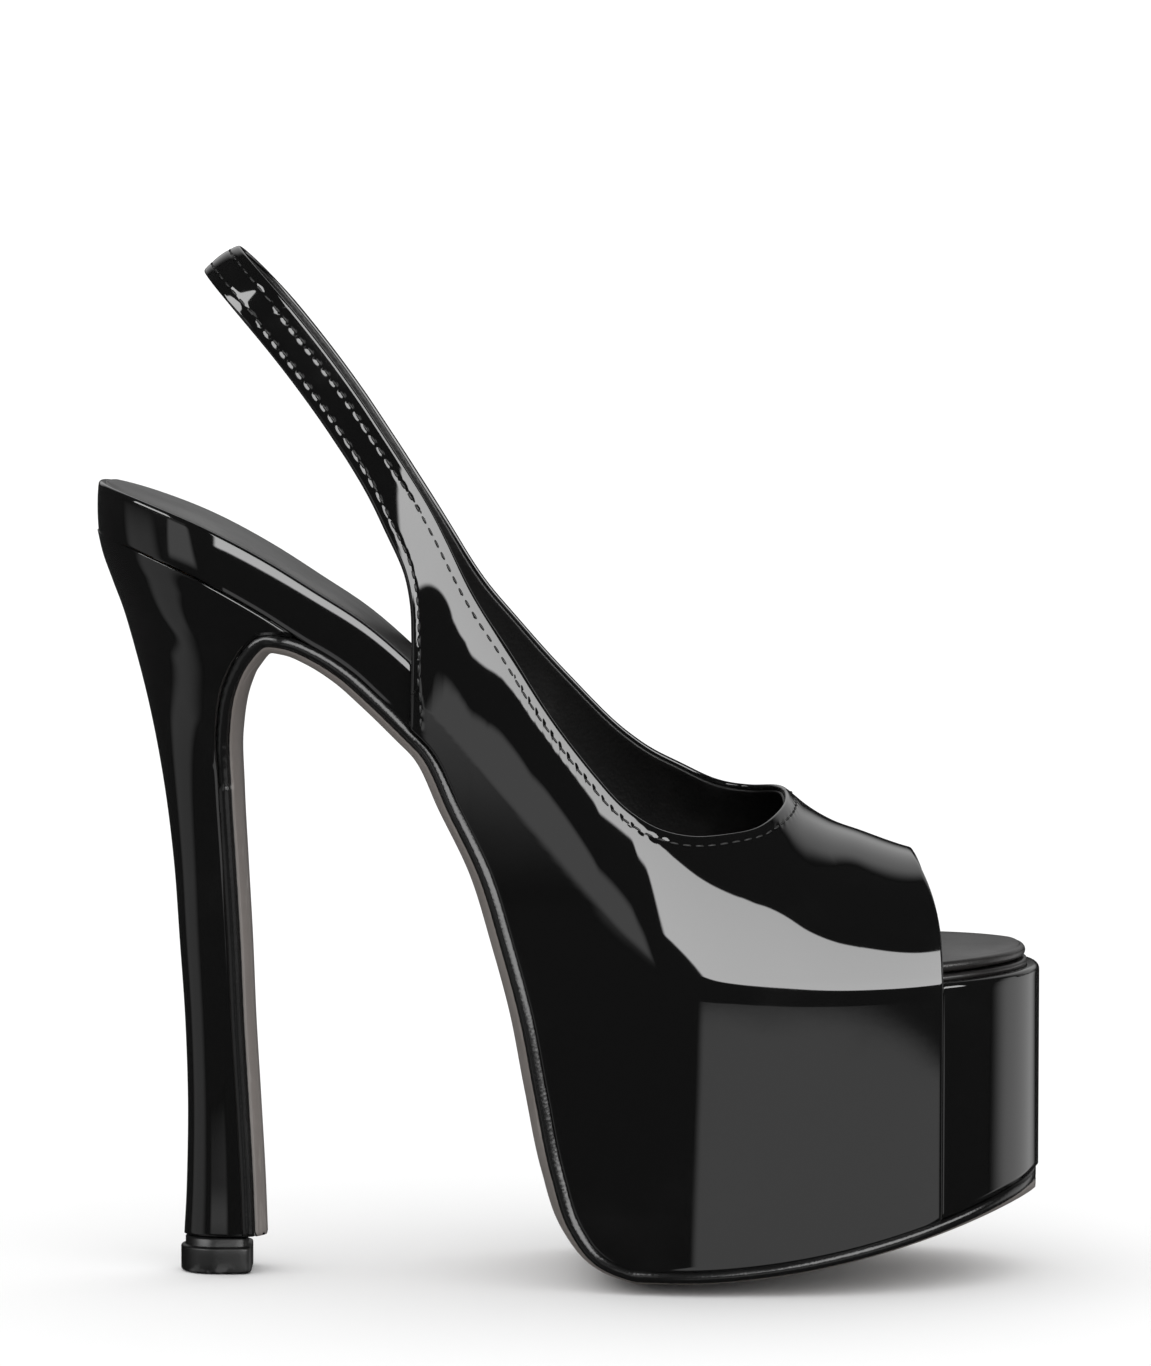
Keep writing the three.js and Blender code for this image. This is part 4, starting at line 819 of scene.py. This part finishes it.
def thread_pattern(place):
    """Waxed black thread: a fine twist that breaks up its highlight."""
    twist = place.noise(2600, 2.0)
    return {"height": twist * 0.03, "Roughness": twist.between(0.3, 0.7, 0.35, 0.6),
            "Base Color": twist.colours(0.008, 0.02)}


thread = finish("waxed_thread", thread_pattern, IOR=1.45)
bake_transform(thread_row)
dress(thread_row, None, thread, "patent")


# ---- Seat band ----
# A strip of the same patent leather is wrapped round the edge of the seat, from one quarter round the back
# of the heel to the other. Its face swells a little, and its top edge is folded over under the sock.
BAND, FOLD, SET_BACK, SWELL = 1.0, 0.9, 0.3, 0.25
BAND_FOOT, TUCKED = SEAT_STACK - 0.08, [1.6, 2.2]


def seat_rim(turn, inset):
    """Plan of the seat's edge: straight from the quarters to the seat's centre, then a superellipse round
    the back. turn goes from -1 at the outer quarter to 1 at the inner one, half of it on the round part."""
    side = np.sign(turn + 1e-9)
    t = np.abs(turn)
    straight = mix(SEAT_CENTRE, QUARTER_X - GAP, np.clip((t - 0.5) * 2, 0, 1))
    angle = np.clip(t * 2, 0, 1) * np.pi / 2
    s, c = np.cos(angle), np.sin(angle)
    size = (c ** SEAT_ROUND + s ** SEAT_ROUND) ** (-1 / SEAT_ROUND)
    round_x = SEAT_CENTRE - (SEAT_CENTRE + OVERHANG - inset) * s * size
    round_y = side * (SEAT - SEAT_SET_IN - inset) * c * size
    outer, inner = (outline(straight, way, inset + SEAT_SET_IN) for way in (-1, 1))
    sides = np.where(side < 0, outer, inner)
    return np.where(t < 0.5, round_x, straight), np.where(t < 0.5, round_y, sides)


def solid_sheet(face, away, thickness):
    """Grids of a closed sheet: its face, its back at the thickness behind it, and strips along its edges."""
    back = face - outward(face, away) * thickness
    return [face, back, *(np.stack([face[i], back[i]]) for i in (0, -1)),
            *(np.stack([face[:, i], back[:, i]]) for i in (0, -1))]


turn = np.linspace(-1, 1, 361)[:, None]
fold = np.linspace(0, np.pi / 2, 9)
up_face = np.linspace(1, 0, 31)[:-1]
band_depth = np.concatenate([mix(FOLD, BAND_FOOT, up_face), FOLD * (1 - np.sin(fold)), [0, 0]])[None]
swell = SWELL * np.sin(np.pi * up_face) ** 0.7
band_in = np.concatenate([SWELL - swell, SWELL + FOLD * (1 - np.cos(fold)), TUCKED])[None]
band_x, band_y = seat_rim(turn, band_in + SET_BACK)
band_face = np.stack([band_x, band_y, layer(band_x, band_depth)], axis=-1)
band = mesh_from("seat_edge_band", solid_sheet(band_face, (-1, 0, 0), BAND - SWELL))
dress(band, "shoe", patent, "patent", "seat_band")


# ---- Platform ----
# The platform is a light cork core. The upper covers its sides, and at the open toe a separate patent cover
# is drawn over it: its top edge is rolled over the rim, under the insole.
def toe_wall(turn, inset):
    """Plan of the toe from the cut's outer side round to its inner side: a superellipse moved in by inset."""
    reach = TOE_X - TOE_CENTRE - inset
    q = (PEEP_X + GAP - TOE_CENTRE) / reach
    widest = np.arctan2((1 - q ** TOE_ROUND) ** (1 / TOE_ROUND), q)
    angle = np.abs(turn) * widest
    c, s = np.cos(angle), np.sin(angle)
    size = (c ** TOE_ROUND + s ** TOE_ROUND) ** (-1 / TOE_ROUND)
    x = TOE_CENTRE + reach * c * size
    return x, toe_lean(x) + np.sign(turn) * (BALL - inset) * s * size


turn = np.linspace(-1, 1, 241)[:, None]
roll = np.linspace(0, np.pi / 2, 9)
ROLL, TUCK = 1.3, 9.0
wall = np.linspace(0, 1, 41)[:-1]
height = np.concatenate([wall, np.ones(len(roll) + 2)])[None]
drop = np.concatenate([np.full(len(wall), ROLL), ROLL * (1 - np.sin(roll)), [0, 0]])[None]
inwards = np.concatenate([np.zeros(len(wall)), ROLL * (1 - np.cos(roll)), [TUCK / 2, TUCK]])[None]
cover_x, cover_y = toe_wall(turn, inwards)
edge = feather(cover_x) + GAP
cover_z = mix(above_sole(cover_x), edge - drop, height)
lean = WALL_LEAN * (edge - cover_z) * ease(np.abs(turn), 0, 0.35)
cover_y = cover_y - np.sign(turn) * lean
cover_face = np.stack([cover_x, cover_y, cover_z], axis=-1)
toe_cover = mesh_from("toe_cover", solid_sheet(cover_face, (1, 0, 0), UPPER))
dress(toe_cover, "shoe", patent, "patent", "toe_platform_cover")


# ---- Heel ----
# A moulded plastic heel wrapped in patent leather: the cover goes round its back and sides, and its front
# edges are tucked under the strip of sole on the breast.
COVER, SHAFT = 0.9, 6.1
TUCKED_AT = 0.996                              # the cover ends this share of the way to the sole
back_points = [
    (TIP_BACK, TIP_TOP), (TIP_BACK + 0.6, heel_lift(0.087)), (TIP_BACK + 0.9, heel_lift(0.218)),
    (TIP_BACK + 0.4, heel_lift(0.353)), (TIP_BACK - 0.7, heel_lift(0.482)),
    (TIP_BACK - 1.9, heel_lift(0.614)), (TIP_BACK - 4, heel_lift(0.746)), (along(0.054), heel_lift(0.877)),
    (along(0.032), heel_lift(1.008)), (along(0.017), heel_lift(1.074)), (along(0.007), heel_lift(1.118)),
    (along(0.001), float(layer(along(0.001), SEAT_STACK))),
]
station = np.linspace(0, 1, len(breast_points))
back_x, back_z = (line_through(list(zip(station, line))) for line in zip(*back_points))
breast_at = line_through([(at, sole_share[np.argmin(np.hypot(sole_x - x, sole_z - z))])
                          for at, (x, z) in zip(station, breast_points)])


def breast_x(s):
    """x of the breast at s from tip to seat, on the sole's inner face."""
    return sole_curve(breast_at(s))[0]


def breast_z(s):
    """Height of the breast at s."""
    return sole_curve(breast_at(s))[1]


heel_half = line_through(np.column_stack([station, [
    SHAFT + 0.8, SHAFT + 0.4, SHAFT, SHAFT, SHAFT + 0.4, SHAFT + 1.2, mix(SHAFT, SEAT, 0.14),
    mix(SHAFT, SEAT, 0.3), mix(SHAFT, SEAT, 0.58), mix(SHAFT, SEAT, 0.75), mix(SHAFT, SEAT, 0.87),
    SEAT - SEAT_SET_IN]]))


def heel_shape(share, s):
    """Half width as a share of the widest, from back 0 to breast 1: a quarter ellipse, then slightly in."""
    widest = mix(1, 0.6, ease(s, 0.55, 1))
    rounded = np.sqrt(np.maximum(0, 1 - (1 - np.minimum(share / widest, 1)) ** 2))
    beyond = np.maximum(0, share - widest) / np.maximum(1 - widest, 1e-6)
    return np.where(share < widest, rounded, 1 - 0.05 * beyond ** 2)


def heel_point(share, s, side, inset):
    """Point of the heel's surface: share from back to breast, s from tip to seat, moved in by the inset. The
    top rows bend to the seat's underside, the front ones later than the back ones."""
    length = np.hypot(breast_x(s) - back_x(s), breast_z(s) - back_z(s))
    a = mix(inset / length, 1, share)
    x = mix(back_x(s), breast_x(s), a)
    ends = [layer(float(line(1.0)), SEAT_STACK) for line in (back_x, breast_x)]
    flat = mix(ends[0], ends[1], (x - back_x(1)) / (breast_x(1) - back_x(1)))
    z = mix(back_z(s), breast_z(s), a) + (layer(x, SEAT_STACK) - flat) * ease(s, 0.6 + 0.36 * share, 1)
    half = np.maximum(0, heel_half(s) - inset) * heel_shape(share, s)
    return np.stack([x, side * half, z], axis=-1)


s = np.linspace(0, 1, 221)[:, None]
quarter = TUCKED_AT * (1 - np.cos(np.linspace(0, np.pi / 2, 30)))
around = np.concatenate([quarter[::-1], quarter[1:]])[None]
flank = np.repeat([-1, 1], [len(quarter), len(quarter) - 1])[None]
heel_face = heel_point(around, s, flank, 0.0)
heel_cover = mesh_from("heel_wrap", solid_sheet(heel_face, (-1, 0, 0), COVER))
dress(heel_cover, "shoe", patent, "patent", "heel_cover")


# ---- Sole ----
# The strip of sole leather is fixed under everything. Its edges are rounded and painted black, its face is
# left in its own taupe, rubbed and dusty where it meets the floor.
ROUND = 1.0


def sole_half(x, z):
    """y of both edges of the sole at each station: the outline, set in, or on the breast the heel's."""
    inset = SOLE_INSET + SEAT_SET_IN * (1 - ease(x, QUARTER_X, along(0.353) + 8))
    lean = WALL_LEAN * np.maximum(0, feather(x) - z) * ease(x, QUARTER_X, FLAT_START)
    edges = [outline(np.minimum(x, TOE_X - SOLE_INSET - 0.1), side, inset) - side * lean for side in (-1, 1)]
    tries = np.linspace(0, 1, 201)
    gap = np.hypot(breast_x(tries)[None] - x[:, None], breast_z(tries)[None] - z[:, None])
    at = tries[np.argmin(gap, axis=1)]
    heel = heel_half(at) * heel_shape(1, at)
    blend = np.where((sole_share > 0.5) | (x > along(0.212)), 1, ease(at, 0.9, 1))
    return mix(-heel, edges[0], blend), mix(heel, edges[1], blend)


left, right = sole_half(sole_x, sole_z)
along_x, along_z = np.gradient(sole_x), np.gradient(sole_z)
window = np.hanning(19)[1:-1]
along_x, along_z = (np.convolve(np.pad(v, 8, "edge"), window, "valid") for v in (along_x, along_z))
run = np.hypot(along_x, along_z)
settled = ease(sole_x, FLAT_START - 8, FLAT_START - 1)
below = unit(np.stack([mix(along_z / run, 0, settled), mix(-along_x / run, -1, settled)], axis=-1))
camber = mix(WAIST_CAMBER, BALL_CAMBER, ease(sole_x, along(0.53), FLAT_START - 2)
             * (1 - 0.7 * ease(sole_x, FLAT_END, TOE_X)))
bend = np.linspace(0, np.pi / 2, 7)
face = np.linspace(1, -1, 33)[1:-1]
edge_in, edge_down = ROUND * (1 - np.cos(bend)), SOLE_EDGE - ROUND * (1 - np.sin(bend))
across = np.concatenate([np.ones(8), face, -np.ones(8), [0, 1]])
pulled = np.concatenate([[0], edge_in, 0 * face, edge_in[::-1], [0, 0, 0]])
down = np.concatenate([[0], edge_down, np.full_like(face, SOLE_EDGE), edge_down[::-1], [0, 0, 0]])
is_face = np.concatenate([np.zeros(8), np.ones_like(face), np.zeros(10)])
bow = 1 - (np.maximum(0, np.abs(across) - 0.35) / 0.65) ** 2
depth = down[None] + camber[:, None] * (bow * is_face)[None]
y = mix(left[:, None], right[:, None], (across[None] + 1) / 2) - np.sign(across)[None] * pulled[None]
grid = np.stack([sole_x[:, None] + below[:, :1] * depth, y, sole_z[:, None] + below[:, 1:] * depth], axis=-1)
grid[:, :, 2] = np.maximum(grid[:, :, 2], 0)


def cap(row):
    """Closes an end of a tube: its ring is joined to its own middle."""
    return np.stack([row, np.broadcast_to(row[:-1].mean(axis=0), row.shape)])


mark = np.broadcast_to(1 - is_face[None], grid.shape[:2])
dark = np.ones((2, grid.shape[1]))
outsole = mesh_from("sole_strip", [grid, cap(grid[0]), cap(grid[-1])], [mark, dark, dark])


def sole_pattern(place):
    """Taupe sole leather with a fine grain and cloudy tone, scratched and dusty, beside a satin black painted
    edge whose line wavers a little."""
    edge = place.node("ShaderNodeAttribute", {"attribute_name": "paint"}, {}, 2)
    black = (edge + place.noise(700, 2.0) * 0.3).between(0.55, 0.75)
    cloud = place.noise(70, 4.0)
    scratch = place.noise(260, 3.0, 0.6, (0.15, 1, 0.15)).between(0.6, 0.68)
    leather = cloud.colours((0.145, 0.128, 0.118), (0.2, 0.18, 0.168))
    worn = (scratch * 0.5).colours(leather, (0.27, 0.25, 0.235))
    return {
        "height": place.cells(1400) * 0.02 + scratch * -0.02,
        "Roughness": black * -0.32 + cloud * 0.14 + 0.46,
        "Base Color": black.colours(worn, 0.006),
    }


sole_leather = finish("sole_leather_and_edge", sole_pattern, IOR=1.45)
dress(outsole, "shoe", sole_leather, "sole", "outsole")


# ---- Top piece ----
# The heel stands on a moulded rubber top piece: a D-shaped tread with a narrower neck that meets the heel,
# held by a steel pin pressed into the heel's tube.
TIP_HALF, TIP_LENGTH, TIP_HEIGHT, TREAD = 7.4, 14.6, 7.6, 5.6
TIP_BEHIND, LIP, TIP_MIDDLE = 0.2, 0.5, 7.0    # behind the heel, out and in at the step, from rim to middle


def tip_ring(turn, grow):
    """Plan of the tip: a half circle at the back and straight sides to a flat front, with small round corners
    that come from a superellipse of power 8."""
    half, back = TIP_HALF + grow, TIP_BACK - TIP_BEHIND - grow
    front = back + TIP_LENGTH + 2 * grow
    angle = turn * 2 * np.pi
    c, s = np.cos(angle), np.sin(angle)
    flat = (np.abs(c) ** 8 + np.abs(s) ** 8) ** (-1 / 8)
    x_front = (front - back - half) * c * flat
    y_front = half * s * flat
    x = np.where(c > 0, x_front, half * c)
    y = np.where(c > 0, y_front, half * s)
    return back + half + x, y


turn = np.linspace(0, 1, 97)[:, None]
soft = np.linspace(0, np.pi / 2, 5)
tip_z = np.concatenate([LIP * (1 - np.cos(soft)), [2.0, 4.0], TREAD - LIP * (1 - np.sin(soft)),
                        [TREAD + 0.05, TREAD + 0.3, TIP_HEIGHT - 0.3, TIP_HEIGHT, TIP_HEIGHT]])
tip_grow = np.concatenate([LIP * np.sin(soft), [LIP, LIP], LIP * np.cos(soft),
                           [-0.35, -LIP, -LIP, -LIP - 0.3, -TIP_MIDDLE]])
ring_x, ring_y = tip_ring(turn, tip_grow[None])
tip_grid = np.stack([ring_x, ring_y, np.broadcast_to(tip_z[None], ring_x.shape)], axis=-1)
foot_x, foot_y = tip_ring(turn, np.array([[0.0, -TIP_MIDDLE]]))
sink = np.stack([foot_x, foot_y, 0 * foot_x], axis=-1)
top_piece = mesh_from("heel_tip", [tip_grid, sink, cap(sink[:, -1]), cap(tip_grid[:, -1])])


def rubber_pattern(place):
    """Hard black rubber: fine moulding grain, and grey scuffs round the tread."""
    height = place.node("ShaderNodeSeparateXYZ", {}, {0: place}, 2)
    scuff = height.between(0.0, 0.003, 1.0, 0.0) * place.noise(420, 4.0).between(0.45, 0.65)
    return {
        "height": place.noise(2200, 2.0) * 0.02 + scuff * 0.03,
        "Roughness": scuff * 0.25 + place.noise(160).between(0.3, 0.7, 0.34, 0.46),
        "Base Color": scuff.colours(0.006, 0.035),
    }


rubber = finish("heel_tip_rubber", rubber_pattern, IOR=1.45)
dress(top_piece, "shoe", rubber, "tip_rubber", "top_piece")


# ---- Inside the shoe ----
# Cork and steel, foam and moulded plastic that the covers hide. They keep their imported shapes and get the
# finish of the real stuff, for anyone who takes the shoe apart.
def stuff(name, low, high, rough, scale, bump, **fixed):
    """A plain material: cloudy colour from low to high, roughness round rough, and a bump of that height."""
    def pattern(place):
        cloud = place.noise(scale, 4.0)
        return {"height": place.cells(scale * 4) * bump + cloud * bump,
                "Roughness": cloud.between(0.3, 0.7, rough - 0.08, rough + 0.08),
                "Base Color": cloud.between(0.35, 0.65).colours(low, high)}
    return finish(name, pattern, **fixed)


inside = {
    stuff("cork_filler", (0.3, 0.17, 0.08), (0.52, 0.33, 0.17), 0.8, 500, 0.15):
        ("seat_filler", "platform_core"),
    stuff("moulded_plastic", 0.02, 0.03, 0.45, 120, 0.01): ("heel_core",),
    stuff("zinc_steel", (0.5, 0.5, 0.49), (0.62, 0.62, 0.6), 0.32, 300, 0.01, Metallic=1.0): (
        "steel_shank", "shank_rivet_rear", "shank_rivet_front", "heel_tube", "heel_screw", "heel_nail_1",
        "heel_nail_2", "heel_nail_3", "heel_nail_4", "top_piece_pin"),
    stuff("woven_elastic", 0.008, 0.02, 0.75, 1200, 0.05): ("strap_elastic",),
}
for material, names in inside.items():
    for name in names:
        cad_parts[name].data.materials.clear()
        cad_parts[name].data.materials.append(material)


# ---- Floor, camera and light ----
# A plain white floor in a white room that the varnish mirrors as a dark one. Its reflections come from curved
# cards of light round the shoe: a broad bright one over the vamp, one for the strap, and dim ones in front,
# beside and behind. The cards cast no light of their own and are seen only in gloss.
def staged(name, points, faces, material, *unseen):
    """A surface of the studio, which is no part of the shoe. It isn't seen by the kinds of ray in unseen."""
    mesh = bpy.data.meshes.new(name)
    mesh.from_pydata(points, [], faces)
    mesh.materials.append(material)
    made = bpy.data.objects.new(name, mesh)
    for kind in unseen:
        setattr(made, "visible_" + kind, False)
    bpy.context.scene.collection.objects.link(made)
    return mesh


def floor_pattern(place):
    """Matt white board with hardly any tone in it."""
    return {"Base Color": place.noise(3, 2.0).colours(0.86, 0.88),
            "Roughness": place.noise(40).between(0, 1, 0.8, 0.9)}


FLOOR_HALF, FLOOR_MIDDLE = 6.0, (0.08, 0.5, -0.0002)
floor_corners = [(-1, -1, 0), (1, -1, 0), (1, 1, 0), (-1, 1, 0)]
staged("floor", np.array(floor_corners) * FLOOR_HALF + FLOOR_MIDDLE, [(0, 1, 2, 3)],
       finish("white_floor", floor_pattern, Specular_IOR_Level=0.0), "glossy")

FOCUS = np.array([0.077386, 0.0, 0.128554])
DISTANCE, ELEVATION = 1.6, math.radians(5)
SENSOR = 36
camera = bpy.data.objects.new("camera", bpy.data.cameras.new("camera"))
camera.data.sensor_fit = "HORIZONTAL"
camera.data.sensor_width = SENSOR
camera.data.lens = SENSOR * 7360 / 1151
camera.location = FOCUS + DISTANCE * np.array([0, -math.cos(ELEVATION), math.sin(ELEVATION)])
camera.rotation_euler = (math.pi / 2 - ELEVATION, 0, 0)
camera.data.clip_end = 100
bpy.context.scene.collection.objects.link(camera)
bpy.context.scene.camera = camera


def card_pattern(top):
    """A card's glow over its spread: it fades out along its four edges, and at the top it is top times as
    bright as at the bottom."""
    def pattern(place):
        spread = place.node("ShaderNodeAttribute", {"attribute_name": "spread"}, {}, 1)
        across, up, fade = (place.node("ShaderNodeSeparateXYZ", {}, {0: spread}, i) for i in (0, 1, 2))
        glow = (across * (1 - across) * 4).between(0, fade) * (up * (1 - up) * 4).between(0, fade)
        return {"Emission Color": glow * (up * (top - 1) + 1)}

    return pattern


VAMP_MIDDLE = np.array([0.12, -0.036, 0.078])
CARD_DISTANCE, CARD_STEPS = 2.2, 17


def softbox(name, corners, glow, fade=0.15, top=1.0):
    """A curved card of light that only the varnish mirrors. Its corners, from lower left round to upper left,
    are bearings and heights in degrees seen from the vamp: 0 is straight out from the shoe's outer side, 90
    straight ahead of its toe. glow is its brightness, fade the width of its soft edges."""
    steps = np.linspace(0, 1, CARD_STEPS)
    u, v = np.meshgrid(steps, steps, indexing="ij")
    low_left, low_right, high_right, high_left = (np.radians(corner) for corner in corners)
    low = mix(low_left, low_right, u[..., None])
    a, e = np.moveaxis(mix(low, mix(high_left, high_right, u[..., None]), v[..., None]), -1, 0)
    way = np.stack([np.sin(a) * np.cos(e), -np.cos(a) * np.cos(e), np.sin(e)], axis=-1)
    points = (VAMP_MIDDLE + way * CARD_DISTANCE).reshape(-1, 3)
    material = finish(name, card_pattern(top), Base_Color=colour(0.0), Roughness=1.0,
                      Specular_IOR_Level=0.0, Emission_Strength=glow)
    faces = quads_of(CARD_STEPS, CARD_STEPS)
    mesh = staged(name, points, faces, material, "camera", "diffuse", "shadow")
    spread = np.stack([u, v, np.full_like(u, fade)], axis=-1).astype(np.float32)
    mesh.attributes.new("spread", "FLOAT_VECTOR", "POINT").data.foreach_set("vector", spread.ravel())


softbox("key_over_the_vamp", [(-7, 4), (74, 5), (74, 27), (13, 45)], 7.6, fade=0.1, top=0.9)
softbox("low_card_before_the_wall", [(-18, -30), (64, -30), (62, -10.4), (-7, -10.4)], 0.8, fade=0.12)
softbox("rear_card", [(-46, -9), (-20, -9), (-20, 13), (-38, 13)], 0.9, fade=0.6)
softbox("heel_card", [(-95, -60), (-50, -45), (-50, 10), (-95, 10)], 0.4, fade=0.8)
softbox("strap_light", [(-76, 13), (-33, 13), (-31, 38), (-72, 38)], 8.0, fade=0.15)
softbox("toe_side_card", [(84, -30), (150, -30), (150, 25), (100, 25)], 0.9, fade=0.8)
softbox("high_back_panel", [(115, 4), (225, 4), (225, 54), (115, 54)], 0.62, fade=0.8)

ROOM_WHITE, ROOM_IN_GLOSS = 1.26, 0.02
world = bpy.data.worlds.new("studio")
bpy.context.scene.world = world
world.use_nodes = True
tree = world.node_tree
mirrored = Wire(tree).node("ShaderNodeLightPath", output="Is Glossy Ray")
backdrop = mirrored.colours(ROOM_WHITE, ROOM_IN_GLOSS)
tree.links.new(backdrop.socket, tree.nodes["Background"].inputs["Color"])
bpy.context.scene.view_settings.view_transform = "Standard"
